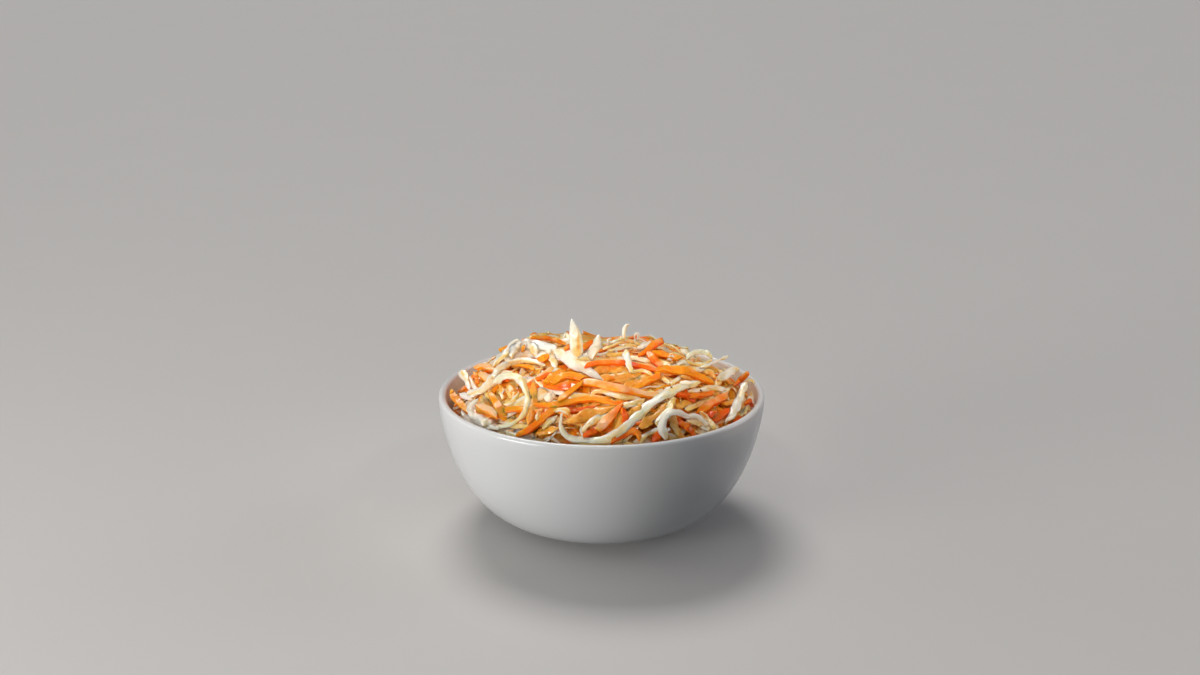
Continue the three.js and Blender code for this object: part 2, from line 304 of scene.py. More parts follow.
class Tree:
    """A material's nodes, built by short calls around one main shader.

    Noise over a place on the piece is given in spots a metre.
    """

    MIX_INPUTS = (0, 6, 7)
    MIX_OUTPUT = 2

    def __init__(self, name: str) -> None:
        """Starts the material.

        Args:
            name: The material's name.
        """
        self.material = bpy.data.materials.new(name)
        self.material.use_nodes = True
        self.nodes = self.material.node_tree.nodes
        self.shader = self.nodes["Principled BSDF"]

    def set(self, **values: float | tuple) -> None:
        """Sets the main shader's own sockets; an underscore in a name stands for a space."""
        for name, value in values.items():
            self.shader.inputs[name.replace("_", " ")].default_value = value

    def add(self, kind: str, inputs: dict, **settings: str | float | bool) -> bpy.types.Node:
        """Adds a node.

        Args:
            kind: The node's type, without its "ShaderNode" start.
            inputs: Socket name or number to a value, or to the socket that feeds it.
            **settings: The node's own settings.

        Returns:
            The node.
        """
        node = self.nodes.new("ShaderNode" + kind)
        for name, value in settings.items():
            setattr(node, name, value)
        for name, value in inputs.items():
            if isinstance(value, Socket):
                self.material.node_tree.links.new(value, node.inputs[name])
            else:
                node.inputs[name].default_value = value
        return node

    def join(self, socket: Socket, name: str) -> None:
        """Feeds the main shader's named socket."""
        self.material.node_tree.links.new(socket, self.shader.inputs[name])

    def object_place(self) -> Socket:
        """The place on the piece, in metres."""
        return self.add("TexCoord", {}).outputs["Object"]

    def attribute(self, name: str, output: str = "Vector") -> Socket:
        """A value kept on the mesh."""
        return self.add("Attribute", {}, attribute_name=name).outputs[output]

    def split(self, vector: Socket) -> tuple[Socket, ...]:
        """The three numbers of a vector or colour."""
        return tuple(self.add("SeparateXYZ", {0: vector}).outputs)

    def scale(self, vector: Socket, by: Triple) -> Socket:
        """A vector with each number multiplied."""
        return self.add("VectorMath", {0: vector, 1: by}, operation="MULTIPLY").outputs[0]

    def maths(self, operation: str, *values: float | Socket) -> Socket:
        """A sum on one, two or three numbers."""
        return self.add("Math", dict(enumerate(values)), operation=operation).outputs[0]

    def swing(self, pattern: Socket, size: float) -> Socket:
        """A pattern from 0 to 1 made to swing about 0, from end to end by a size."""
        return self.maths("MULTIPLY_ADD", pattern, size, -size / 2)

    def turn(self, place: Socket, degrees: float) -> Socket:
        """A place turned about the Z axis."""
        inputs = {"Vector": place, "Angle": math.radians(degrees)}
        return self.add("VectorRotate", inputs, rotation_type="Z_AXIS").outputs[0]

    def noise(self, place: Socket, scale: float = 1.0, detail: float = 2.0) -> Socket:
        """Soft noise from 0 to 1, in spots for each unit of the place."""
        return self.add("TexNoise", {"Vector": place, "Scale": scale, "Detail": detail}).outputs[0]

    def ramp(self, value: Socket, low: float, high: float) -> Socket:
        """0 below low, 1 above high, and a smooth rise between."""
        inputs = {"Value": value, "From Min": low, "From Max": high}
        return self.add("MapRange", inputs, interpolation_type="SMOOTHSTEP").outputs[0]

    def blend(self, share: Socket | float, first: Socket | Colour, second: Socket | Colour) -> Socket:
        """A mix of two colours.

        Args:
            share: How much of the second.
            first: A colour, or the socket that gives it.
            second: The same.

        Returns:
            The mixed colour's socket.
        """
        colours = [colour if isinstance(colour, Socket) else (*colour, 1.0) for colour in (first, second)]
        inputs = dict(zip(self.MIX_INPUTS, (share, *colours)))
        return self.add("Mix", inputs, data_type="RGBA").outputs[self.MIX_OUTPUT]

    def bump(self, height: Socket, millimetres: float, strength: float) -> None:
        """Raises the surface by a height from 0 to 1."""
        inputs = {"Height": height, "Distance": millimetres * METRES, "Strength": strength}
        self.join(self.add("Bump", inputs).outputs[0], "Normal")


@dataclass(frozen=True)
class Glaze:
    """White glaze, with a soft gloss and hardly any texture."""

    colour: Colour = (0.80, 0.81, 0.83)
    warm: Colour = (0.83, 0.82, 0.79)
    clouds: float = 14.0
    waves: float = 60.0
    wave_height: float = 0.06
    roughness: float = 0.24

    def material(self) -> bpy.types.Material:
        """Makes the material.

        Returns:
            The finished material.
        """
        tree = Tree("white_glaze")
        place = tree.object_place()
        tree.join(tree.blend(tree.noise(place, self.clouds), self.colour, self.warm), "Base Color")
        tree.set(Roughness=self.roughness, Coat_Weight=0.25, Coat_Roughness=0.08, IOR=1.5)
        tree.bump(tree.noise(place, self.waves), self.wave_height, strength=0.5)
        return tree.material


@dataclass(frozen=True)
class Dressed:
    """A moist cut vegetable with streaks of creamy dressing on it.

    The mesh gives each point its shade, which holds painted light and shade from the way it faces, its
    dressing, and its depth in the heap, which drives a painted deep shade, as the attribute "look", and its
    place along and across its own shred as the attribute "grain".

    Attributes:
        light, middle, dark: The flesh's colours at shade 0, 0.5 and 1.
        painted_deep_shade: A painted warm shade, the colour it takes deep in the heap in place of shadow.
        fibre_stretch, band_stretch, crinkle_stretch: Waves a millimetre of fibres, bands and crinkles,
            along and across a shred.
        fibre_height, crinkle, coat_height: How high fibres, crinkles and dressing are in the relief.
        streak, band, region: How much fibres, bands and the place in the heap change the shade.
        edge, edge_sheen_from: How much lighter a shred's edges are than its middle, a painted sheen on the
            wet
        edges, and where between them the shade stays as it is.
        deepest: The depth at which it has wholly its painted deep shade colour.
        region_scale, patch_scale, drop_scale: Spots a metre of such places, and of the dressing.
        patch_share: How much the dressing's patches count against its drops.
        cover: How strongly both bring dressing, and what is added.
        bare: What keeps it off a bare shred, and how much less that is on a dressed one.
        film: The amounts at which it starts to show and at which it covers.
        deep: The depths at which none is left and down to which all of it is.
        bleed, bleed_reach: How far each colour of light goes through, as a share, and the farthest.
    """

    name: str
    light: Colour
    middle: Colour
    dark: Colour
    painted_deep_shade: Colour
    dressing: Colour
    fibre_stretch: Triple = (0.07, 0.8, 1.0)
    band_stretch: Triple = (0.09, 0.25, 1.0)
    crinkle_stretch: Triple = (0.45, 0.5, 1.0)
    crinkle: float = 2.0
    fibre_height: float = 0.5
    coat_height: float = 0.7
    relief: float = 0.26
    streak: float = 1.1
    band: float = 1.6
    region: float = 1.2
    edge: float = 0.4
    edge_sheen_from: float = 0.6
    deepest: float = 0.95
    region_scale: float = 45.0
    patch_scale: float = 110.0
    drop_scale: float = 260.0
    patch_share: float = 0.6
    cover: Pair = (1.7, -0.35)
    bare: Pair = (1.02, 0.85)
    film: Pair = (-0.3, 0.22)
    deep: Pair = (0.55, 0.12)
    subsurface: float = 0.9
    bleed: Colour = (1.0, 0.95, 0.85)
    bleed_reach: float = 2.4
    roughness: float = 0.34
    gloss: float = 0.6
    wet_gloss: float = 1.2

    def material(self) -> bpy.types.Material:
        """Makes the material.

        Returns:
            The finished material.
        """
        tree = Tree(self.name)
        # The look's shade holds painted light and shade; its depth paints shade deep in the heap.
        shade, cream, depth = tree.split(tree.attribute("look", "Color"))
        edge_share = tree.attribute("look", "Alpha")
        grain = tree.attribute("grain")
        place = tree.object_place()
        fibres = tree.noise(tree.scale(grain, self.fibre_stretch), detail=3.0)
        bands = tree.noise(tree.scale(grain, self.band_stretch), detail=1.0)
        patches = tree.noise(place, self.patch_scale)
        regions = tree.swing(tree.noise(place, self.region_scale, 1.0), self.region)
        streaks = tree.swing(fibres, self.streak)
        swings = tree.swing(bands, self.band)
        tone = tree.maths("ADD", tree.maths("ADD", shade, streaks), tree.maths("ADD", swings, regions))
        # Painted sheen: the edges are made lighter and the middle darker, as wet edges catch the light.
        edges = tree.maths("MULTIPLY_ADD", edge_share, -self.edge, self.edge * self.edge_sheen_from)
        tone = tree.maths("ADD", tone, edges)
        body = tree.blend(tree.ramp(tone, 0.0, 0.5), self.light, self.middle)
        body = tree.blend(tree.ramp(tone, 0.5, 1.0), body, self.dark)
        # Painted shade: deep in the heap the colour turns a warm dark amber, in place of shadow and bounce.
        body = tree.blend(tree.ramp(depth, 0.0, self.deepest), body, self.painted_deep_shade)
        drops = tree.noise(place, self.drop_scale, 3.0)
        patches = tree.maths("MULTIPLY", patches, self.patch_share)
        drops = tree.maths("MULTIPLY", drops, 1 - self.patch_share)
        cover = tree.maths("ADD", patches, drops)
        bare = tree.maths("SUBTRACT", self.bare[0], tree.maths("MULTIPLY", cream, self.bare[1]))
        coat = tree.maths("SUBTRACT", tree.maths("MULTIPLY_ADD", cover, *self.cover), bare)
        coat = tree.maths("MULTIPLY", tree.ramp(coat, *self.film), tree.ramp(depth, *self.deep))
        tree.join(tree.blend(coat, body, self.dressing), "Base Color")
        crinkles = tree.noise(tree.scale(grain, self.crinkle_stretch), detail=1.0)
        fibres = tree.maths("MULTIPLY", fibres, self.fibre_height)
        height = tree.maths("MULTIPLY_ADD", coat, self.coat_height, fibres)
        height = tree.maths("MULTIPLY_ADD", crinkles, self.crinkle, height)
        tree.bump(height, self.relief, strength=0.9)
        tree.set(
            Roughness=self.roughness,
            Subsurface_Weight=self.subsurface,
            Subsurface_Radius=self.bleed,
            Subsurface_Scale=self.bleed_reach * METRES,
            Specular_IOR_Level=self.gloss / 2,
            Coat_Weight=self.gloss * self.wet_gloss,
            Coat_Roughness=0.09,
            IOR=1.42,
        )
        return tree.material


# The fourth colour of each flesh is a painted warm shade that it takes deep in the heap.
WHITE_CABBAGE = Dressed(
    name="white_cabbage",
    light=(0.87, 0.84, 0.67),
    middle=(0.94, 0.59, 0.20),
    dark=(0.93, 0.35, 0.035),
    painted_deep_shade=(0.98, 0.34, 0.02),
    dressing=(0.89, 0.865, 0.73),
)
GREEN_CABBAGE = Dressed(
    name="green_cabbage",
    light=(0.78, 0.82, 0.58),
    middle=(0.90, 0.67, 0.28),
    dark=(0.92, 0.48, 0.09),
    painted_deep_shade=(0.98, 0.37, 0.025),
    dressing=(0.84, 0.86, 0.70),
)
CARROT_FLESH = Dressed(
    name="carrot",
    light=(0.98, 0.32, 0.011),
    middle=(0.96, 0.205, 0.005),
    dark=(0.86, 0.115, 0.002),
    painted_deep_shade=(0.94, 0.24, 0.006),
    dressing=(0.90, 0.55, 0.31),
    fibre_stretch=(0.08, 1.1, 1.0),
    crinkle=0.8,
    bleed=(1.0, 0.5, 0.15),
    bleed_reach=3.0,
    gloss=0.35,
)


@dataclass(frozen=True)
class Cream:
    """Creamy dressing where it lies thick."""

    colour: Colour = (0.91, 0.86, 0.72)
    warm: Colour = (0.90, 0.80, 0.60)
    clouds: float = 160.0
    lumps: float = 500.0
    lump_height: float = 0.3
    bleed_reach: float = 2.5

    def material(self) -> bpy.types.Material:
        """Makes the material.

        Returns:
            The finished material.
        """
        tree = Tree("creamy_dressing")
        place = tree.object_place()
        tree.join(tree.blend(tree.noise(place, self.clouds), self.colour, self.warm), "Base Color")
        tree.bump(tree.noise(place, self.lumps), self.lump_height, strength=0.4)
        tree.set(
            Roughness=0.22,
            Subsurface_Weight=0.5,
            Subsurface_Radius=(1.0, 0.8, 0.5),
            Subsurface_Scale=self.bleed_reach * METRES,
            Coat_Weight=0.4,
            Coat_Roughness=0.08,
        )
        return tree.material


@dataclass(frozen=True)
class Speck:
    """Dark specks of ground pepper."""

    colour: Colour = (0.10, 0.035, 0.012)
    warm: Colour = (0.20, 0.07, 0.02)
    grit: float = 400.0
    grit_height: float = 0.1

    def material(self) -> bpy.types.Material:
        """Makes the material.

        Returns:
            The finished material.
        """
        tree = Tree("pepper")
        grit = tree.noise(tree.object_place(), self.grit)
        tree.join(tree.blend(grit, self.colour, self.warm), "Base Color")
        tree.bump(grit, self.grit_height, strength=0.5)
        tree.set(Roughness=0.5)
        return tree.material


@dataclass(frozen=True)
class Packed:
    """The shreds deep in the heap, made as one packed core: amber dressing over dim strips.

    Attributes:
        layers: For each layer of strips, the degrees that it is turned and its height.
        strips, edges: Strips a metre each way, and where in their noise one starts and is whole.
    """

    amber: Colour = (0.98, 0.36, 0.025)
    cream: Colour = (0.97, 0.50, 0.12)
    orange: Colour = (0.98, 0.20, 0.005)
    strips: Triple = (45.0, 320.0, 160.0)
    layers: tuple[Pair, ...] = ((20.0, 0.55), (75.0, 0.6875), (-40.0, 0.4), (-80.0, 0.3))
    edges: Pair = (0.5, 0.56)
    relief: float = 0.6
    bleed_reach: float = 7.0

    def material(self) -> bpy.types.Material:
        """Makes the material.

        Returns:
            The finished material.
        """
        tree = Tree("packed_shreds")
        place = tree.object_place()
        body: Socket | Colour = self.amber
        height: Socket | float = 0.0
        colours = (self.cream, self.orange, self.cream, self.amber)
        for (degrees, rise), colour in zip(self.layers, colours):
            grain = tree.scale(tree.turn(place, degrees), self.strips)
            strips = tree.ramp(tree.noise(grain, detail=1.0), *self.edges)
            body = tree.blend(strips, body, colour)
            height = tree.maths("MAXIMUM", height, tree.maths("MULTIPLY", strips, rise))
        tree.join(body, "Base Color")
        tree.bump(height, self.relief, strength=0.8)
        tree.set(
            Roughness=0.35,
            Subsurface_Weight=0.9,
            Subsurface_Radius=(1.0, 0.5, 0.2),
            Subsurface_Scale=self.bleed_reach * METRES,
            Coat_Weight=0.4,
            Coat_Roughness=0.15,
        )
        return tree.material


# ---- shapes shared by the pieces --------------------


@dataclass(frozen=True)
class BowlForm:
    """The turned bowl's sizes, and the curve of its wall.

    Attributes:
        lip: Thickness of the round lip.
        foot_radius, foot_width, foot_height: The foot ring's outer radius, breadth and height.
        inner_bevel, outer_bevel: The bevels of the ring's two edges.
        underside_radius, floor_radius: Where the outer and the inner face start to rise.
        flare: How upright the wall ends at the lip; more is more upright.
        fullness: How full it is low down; more is fuller.
    """

    rim_radius: float
    height: float
    lip: float = 3.0
    foot_radius: float = 27.0
    foot_width: float = 3.5
    foot_height: float = 1.6
    inner_bevel: float = 0.25
    outer_bevel: float = 0.3
    underside_radius: float = 27.6
    floor_thickness: float = 4.0
    floor_radius: float = 26.0
    flare: float = 1.53
    fullness: float = 2.74

    @property
    def lip_centre(self) -> float:
        """Height of the round lip's centre line."""
        return self.height - self.lip / 2

    @property
    def floor(self) -> float:
        """Height of the inside's flat middle."""
        return self.foot_height + self.floor_thickness

    @property
    def inner_rim(self) -> float:
        """Radius of the inside at the lip."""
        return self.rim_radius - self.lip

    def widening(self, share: Array) -> Array:
        """How far the wall has widened, from 0 to 1, at a share of its height."""
        return (1 - (1 - share) ** self.flare) ** (1 / self.fullness)

    def inner_radius(self, z: Array) -> Array:
        """Radius of the inside at a height."""
        share = np.clip((z - self.floor) / (self.lip_centre - self.floor), 0.0, 1.0)
        return self.floor_radius + (self.inner_rim - self.floor_radius) * self.widening(share)


@dataclass(frozen=True)
class HeapForm:
    """The heap's outer surface: a dome with steep sides and a clump at its back left.

    Attributes:
        forward: How far its middle lies before the bowl's.
        crown, dip: How far its middle stands over the rim, and its edge under it.
        steepness: How flat its top and how steep its sides are.
        clump, clump_rise, clump_spread: The clump's place on the plan, its height and its breadth.
    """

    rim_height: float
    radius: float = 65.0
    forward: float = 2.0
    crown: float = 15.5
    dip: float = 9.0
    steepness: int = 4
    clump: Pair = (-30.0, 20.0)
    clump_rise: float = 6.0
    clump_spread: float = 13.0

    def top(self, x: Array, y: Array) -> Array:
        """Height of the outer surface over points of the plan.

        Args:
            x, y: How far right and back they are.

        Returns:
            The heights.
        """
        share = np.hypot(x, y + self.forward) / self.radius
        dome = self.crown - (self.crown + self.dip) * share**self.steepness
        away = np.hypot(x - self.clump[0], y - self.clump[1]) / self.clump_spread
        return self.rim_height + dome + self.clump_rise * np.exp(-(away**2) / 2)


def new_piece(name: str, mesh: bpy.types.Mesh, material: bpy.types.Material) -> bpy.types.Object:
    """Links a finished mesh as an object at the origin.

    Args:
        name: The object's name.
        mesh: Its mesh, in metres.
        material: Its only material.

    Returns:
        The object.
    """
    mesh.materials.append(material)
    piece = bpy.data.objects.new(name, mesh)
    bpy.context.scene.collection.objects.link(piece)
    return piece


# ---- bowl --------------------


@dataclass
class Bowl:
    """The glazed bowl: a profile of foot ring, wall, round lip and inside, turned about the Z axis."""

    form: BowlForm
    glaze: Glaze = Glaze()
    sides: int = 128
    wall_steps: int = 26
    lip_steps: int = 8

    def profile(self) -> list[Vector]:
        """The half outline, from the axis under the bowl round to the axis inside it.

        Returns:
            Its points, in metres.
        """
        form = self.form
        ring_inner = form.foot_radius - form.foot_width
        half_lip = form.lip / 2
        lip_middle = form.rim_radius - half_lip
        points = [
            (0.0, form.foot_height),
            (ring_inner - form.foot_height, form.foot_height),
            (ring_inner, form.inner_bevel),
            (ring_inner + form.inner_bevel, 0.0),
            (form.foot_radius - form.outer_bevel, 0.0),
            (form.foot_radius, form.outer_bevel),
        ]
        points += self.wall(form.underside_radius, form.rim_radius, form.foot_height)
        for step in range(1, self.lip_steps):
            angle = math.pi * step / self.lip_steps
            across, up = half_lip * math.cos(angle), half_lip * math.sin(angle)
            points.append((lip_middle + across, form.lip_centre + up))
        points += reversed(self.wall(form.floor_radius, form.inner_rim, form.floor))
        points.append((0.0, form.floor))
        return [Vector((r, 0.0, z)) * METRES for r, z in points]

    def wall(self, start: float, end: float, low: float) -> list[Pair]:
        """One face of the wall, from its level disc up to the lip, with more points low down.

        Args:
            start: Radius of the disc.
            end: Radius at the lip.
            low: Height of the disc.

        Returns:
            Its points, as radius and height.
        """
        points = []
        for step in range(self.wall_steps + 1):
            share = (step / self.wall_steps) ** 2
            radius = start + (end - start) * float(self.form.widening(np.float64(share)))
            points.append((radius, low + (self.form.lip_centre - low) * share))
        return points

    def build(self) -> bpy.types.Object:
        """Makes the bowl.

        Returns:
            The bowl's object, riding on the part and standing for its CAD node.
        """
        shape = bmesh.new()
        corners = [shape.verts.new(point) for point in self.profile()]
        edges = [shape.edges.new(pair) for pair in zip(corners, corners[1:])]
        bmesh.ops.spin(
            shape,
            geom=corners + edges,
            cent=(0.0, 0.0, 0.0),
            axis=(0.0, 0.0, 1.0),
            angle=math.tau,
            steps=self.sides,
            use_merge=True,
        )
        bmesh.ops.remove_doubles(shape, verts=shape.verts, dist=TINY)
        bmesh.ops.recalc_face_normals(shape, faces=shape.faces)
        for face in shape.faces:
            face.smooth = True
        mesh = bpy.data.meshes.new("bowl_glazed")
        shape.to_mesh(mesh)
        shape.free()
        piece = new_piece("bowl_glazed", mesh, self.glaze.material())
        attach(piece, "root")
        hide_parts("bowl")
        return piece


# ---- shreds --------------------


class Kind(Enum):
    """What a shred was cut from."""

    CABBAGE = "cabbage"
    GREENS = "greens"
    CARROT = "carrot"


CABBAGE, GREENS, CARROT = Kind


class Pose(Enum):
    """How a named shred is held."""

    LAID = "laid"
    STANDING = "standing"


@dataclass(frozen=True)
class Named:
    """A shred whose place is listed: its route is where the camera sees its middle line.

    Attributes:
        name: What the shred is called.
        kind: What it was cut from.
        route: Points of the frame that it passes, from one end to the other.
        widths: Its breadth as seen, in pixels, at even steps from start to end.
        shade: 0 for the kind's lightest colour and 1 for its darkest.
        cream: Share of it that is dressed, from 0 to 1.
        pose: Laid on the heap, or standing up from its first point.
        facing: 0 if its flat side faces up, 1 if it faces the camera.
    """

    name: str
    kind: Kind
    route: tuple[Pixel, ...]
    widths: tuple[float, ...]
    shade: float
    cream: float
    pose: Pose = Pose.LAID
    facing: float = 0.55


@dataclass
class Ribbon:
    """A shred in its place: its middle line, the way it faces there, and its section.

    Attributes:
        kind: What it was cut from.
        spine: Points of the middle line, n by 3.
        side: Unit vectors across the flat side, n by 3.
        width, thickness: Breadth and thickness at each point.
        shade, cream: As in Named.
        cup: How far the section's middle is pushed out, as a share of the width; less than 0 for in.
        painted_deep_shade: How strongly the painted shade deep in the heap darkens its colour, from 0 to 1.
    """

    kind: Kind
    spine: Array
    side: Array
    width: Array
    thickness: Array
    shade: float
    cream: float
    cup: float
    painted_deep_shade: float = 1.0

    @property
    def along(self) -> Array:
        """Unit vectors along the middle line."""
        return unit(np.gradient(self.spine, axis=0))

    @property
    def normal(self) -> Array:
        """Unit vectors out of the flat side."""
        return unit(np.cross(self.along, self.side))


def unit(vectors: Array) -> Array:
    """Vectors brought to length 1."""
    return vectors / np.maximum(np.linalg.norm(vectors, axis=-1, keepdims=True), LEAST_LENGTH)


def smooth_route(points: Array, count: int, between: int = 12) -> Array:
    """A smooth curve through points.

    Args:
        points: The points, n by 2 or n by 3.
        count: How many points to return, evenly spaced along the curve.
        between: Steps in which the curve is followed from each point to the next.

    Returns:
        The points of the curve.
    """
    if len(points) == 2:
        share = np.linspace(0.0, 1.0, count)[:, None]
        return points[0] * (1 - share) + points[1] * share
    ends = (2 * points[0] - points[1], 2 * points[-1] - points[-2])
    knots = np.vstack([ends[0], points, ends[1]])
    fine = []
    for a, b, c, d in zip(knots, knots[1:], knots[2:], knots[3:]):
        u = np.linspace(0.0, 1.0, between, endpoint=False)[:, None]
        fine.append(0.5 * (2 * b + (c - a) * u + (2 * a - 5 * b + 4 * c - d) * u**2
                           + (3 * b - a - 3 * c + d) * u**3))
    fine = np.vstack([*fine, points[-1:]])
    steps = np.concatenate([[0.0], np.cumsum(np.linalg.norm(np.diff(fine, axis=0), axis=1))])
    even = np.linspace(0.0, steps[-1], count)
    return np.stack([np.interp(even, steps, fine[:, i]) for i in range(points.shape[1])], axis=1)


def settle(floor: Array, spacing: Array, bend_radius: float, rounds: int = 50,
           run_on: float = 0.6) -> Array:
    """Lays a limp line on a bumpy floor.

    Args:
        floor: The lowest place that each point may take.
        spacing: The distance from each point to the next.
        bend_radius: The tightest curve in which the line hangs between the places that carry it.
        rounds: How many times the line is eased.
        run_on: The share of the slope next to them that the free ends keep.

    Returns:
        The line's heights.
    """
    line = floor.copy()
    before, after = spacing[:-1], spacing[1:]
    sag = before * after / (2 * bend_radius)
    for _ in range(rounds):
        chord = (line[:-2] * after + line[2:] * before) / (before + after)
        line[1:-1] = np.maximum(floor[1:-1], chord - sag)
        line[0] = max(floor[0], line[1] + (line[1] - line[2]) * run_on - 2 * sag[0])
        line[-1] = max(floor[-1], line[-2] + (line[-2] - line[-3]) * run_on - 2 * sag[-1])
    return eased(line)


def eased(line: Array) -> Array:
    """Takes the small jolts out of a line.

    Args:
        line: Its heights.

    Returns:
        The heights, each moved towards the mean of its near neighbours.
    """
    weights = np.array([0.1, 0.2, 0.4, 0.2, 0.1])
    first, last = 2 * line[0] - line[2:0:-1], 2 * line[-1] - line[-2:-4:-1]
    return np.convolve(np.concatenate([first, line, last]), weights, mode="valid")


@dataclass
class Pile:
    """The heap as it grows: its height over the plan, raised by each shred that is laid on it.

    Attributes:
        bowl: The bowl that holds it.
        heap: The heap's outer surface.
        view: The camera.
        start_depth: How far under that surface the first shreds lie.
        reach: How far the plan runs from the middle.
        cell: The plan's spacing.
        wall_gap: The space left to the bowl's wall.
        sink: How far a shred sinks into those under it.
        hollow: How much lower the heap lies where the bowl's wall shows at its back left.
        hollow_middle, hollow_spread: That hollow's place and reach, in degrees round from +X.
        hollow_inner: Its start and full depth, in millimetres from the middle.
    """

    bowl: BowlForm
    heap: HeapForm
    view: View
    start_depth: float = 13.0
    reach: float = 72.0
    cell: float = 0.5
    wall_gap: float = 0.5
    sink: float = 0.8
    hollow: float = 4.0
    hollow_middle: float = 152.0
    hollow_spread: float = 20.0
    hollow_inner: Pair = (44.0, 58.0)
    heights: Array = field(init=False)
    outer: Array = field(init=False)

    def __post_init__(self) -> None:
        """Starts the pile at a set depth under the heap's outer surface."""
        line = np.arange(-self.reach, self.reach + self.cell, self.cell)
        x, y = np.meshgrid(line, line, indexing="ij")
        away = (np.degrees(np.arctan2(y, x)) - self.hollow_middle) / self.hollow_spread
        share = np.clip((np.hypot(x, y) - self.hollow_inner[0]) / np.ptp(self.hollow_inner), 0.0, 1.0)
        self.outer = self.heap.top(x, y) - self.hollow * np.exp(-(away**2)) * share
        self.heights = self.outer - self.start_depth

    def cells(self, x: Array, y: Array) -> tuple[Array, Array]:
        """The cells that hold points of the plan.

        Args:
            x, y: How far right and back they are.

        Returns:
            The cells' columns and rows.
        """
        last = self.heights.shape[0] - 1
        column = np.clip(np.rint((x + self.reach) / self.cell).astype(int), 0, last)
        row = np.clip(np.rint((y + self.reach) / self.cell).astype(int), 0, last)
        return column, row

    def height(self, x: Array, y: Array) -> Array:
        """The pile's height over points of the plan."""
        return self.heights[self.cells(x, y)]

    def room(self, x: Array, y: Array) -> Array:
        """How far the pile lies under the heap's outer surface."""
        here = self.cells(x, y)
        return self.outer[here] - self.heights[here]

    def smoothed(self, spread: float) -> Array:
        """The pile's heights, blurred.

        Args:
            spread: The blur's radius.

        Returns:
            The heights of all cells.
        """
        reach = max(1, int(3 * spread / self.cell))
        steps = np.arange(-reach, reach + 1) * self.cell
        weights = np.exp(-((steps / spread) ** 2) / 2)
        weights /= weights.sum()
        rows = np.apply_along_axis(np.convolve, 0, self.heights, weights, mode="same")
        return np.apply_along_axis(np.convolve, 1, rows, weights, mode="same")

    def inside(self, spine: Array, side: Array, width: Array,
               thickness: Array) -> Array:
        """Brings a middle line in where its shred would reach the bowl's wall.

        Args:
            spine: The middle line, n by 3.
            side: Unit vectors across the flat side, n by 3.
            width, thickness: Breadth and thickness at each point.

        Returns:
            The middle line.
        """
        radius = np.hypot(spine[:, 0], spine[:, 1])
        outward = spine[:, :2] / np.maximum(radius, TINY)[:, None]
        reach = np.abs(np.sum(side[:, :2] * outward, axis=1)) * width / 2 + thickness / 2
        lowest = spine[:, 2] - np.abs(side[:, 2]) * width / 2 - thickness / 2
        room = self.bowl.inner_radius(lowest) - reach - self.wall_gap
        share = np.minimum(1.0, room / np.maximum(radius, TINY))
        return np.column_stack([spine[:, :2] * share[:, None], spine[:, 2]])

    def off_wall(self, points: Array) -> Array:
        """Brings points in where they would reach into the bowl's wall.

        Args:
            points: The points, n by 3.

        Returns:
            The points where they may be.
        """
        radius = np.hypot(points[:, 0], points[:, 1])
        room = self.bowl.inner_radius(points[:, 2]) - self.wall_gap / 2
        share = np.minimum(1.0, room / np.maximum(radius, TINY))
        return np.column_stack([points[:, :2] * share[:, None], points[:, 2]])

    def lay(self, plan: Array, width: Array, thickness: Array, turn: Array,
            bend_radius: float) -> tuple[Array, Array]:
        """Lays a shred on the pile, without raising the pile.

        Args:
            plan: The middle line on the plan, n by 2.
            width, thickness: Breadth and thickness at each point.
            turn: How far the shred is turned about its own length at each point.
            bend_radius: See settle.

        Returns:
            The middle line, n by 3, and the unit vectors across the flat side, n by 3.
        """
        along = unit(np.gradient(plan, axis=0))
        level = np.column_stack([-along[:, 1], along[:, 0]])
        half = (width / 2)[:, None]
        left = plan + level * half
        right = plan - level * half
        slope = (self.height(*left.T) - self.height(*right.T)) / width
        window = np.full(5, 0.2)
        slope = np.convolve(np.pad(slope, len(window) // 2, mode="edge"), window, mode="valid")
        followed, most_roll = 0.8, 0.7
        roll = np.clip(np.arctan(slope) * followed, -most_roll, most_roll) + turn
        needed = np.full(len(plan), -np.inf)
        for share in (-1.0, -0.5, 0.0, 0.5, 1.0):
            across = share * width / 2
            spot = plan + level * (across * np.cos(roll))[:, None]
            over = self.height(*spot.T) - across * np.sin(roll) + thickness / 2 * np.abs(np.cos(roll))
            needed = np.maximum(needed, over)
        spacing = np.linalg.norm(np.diff(plan, axis=0), axis=1)
        z = settle(needed - self.sink, spacing, bend_radius)
        side = np.column_stack([level * np.cos(roll)[:, None], np.sin(roll)])
        return self.inside(np.column_stack([plan, z]), side, width, thickness), side

    def cast(self, pixels: Array) -> Array:
        """Finds where lines of sight meet the pile.

        Args:
            pixels: Points of the frame, n by 2.

        Returns:
            Their lengths from the eye. A line that misses gets the length at which it is nearest.
        """
        middle, reach, step, miss = self.view.distance, 110.0, 0.4, 40.0
        lengths = np.arange(middle - reach, middle + reach, step)
        rays = self.view.rays(pixels)
        spots = self.view.eye + rays[:, None, :] * lengths[None, :, None]
        gap = spots[..., 2] - self.height(spots[..., 0], spots[..., 1])
        far = np.hypot(spots[..., 0], spots[..., 1]) > self.heap.radius
        gap = np.where(far, gap + miss, gap)
        hit = gap <= 0
        first = np.where(hit.any(axis=1), hit.argmax(axis=1), gap.argmin(axis=1))
        return lengths[first]

    def raise_under(self, ribbon: Ribbon) -> None:
        """Raises the pile to the top of a shred.

        Args:
            ribbon: The shred in its place.
        """
        points_each, tracks, round_off = 5, 11, 0.4
        count = len(ribbon.spine) * points_each
        share = np.linspace(0, len(ribbon.spine) - 1, count)
        index = np.arange(len(ribbon.spine))

        def finer(values: Array) -> Array:
            """The values at the closer points."""
            return np.stack([np.interp(share, index, column) for column in values.T], axis=1)

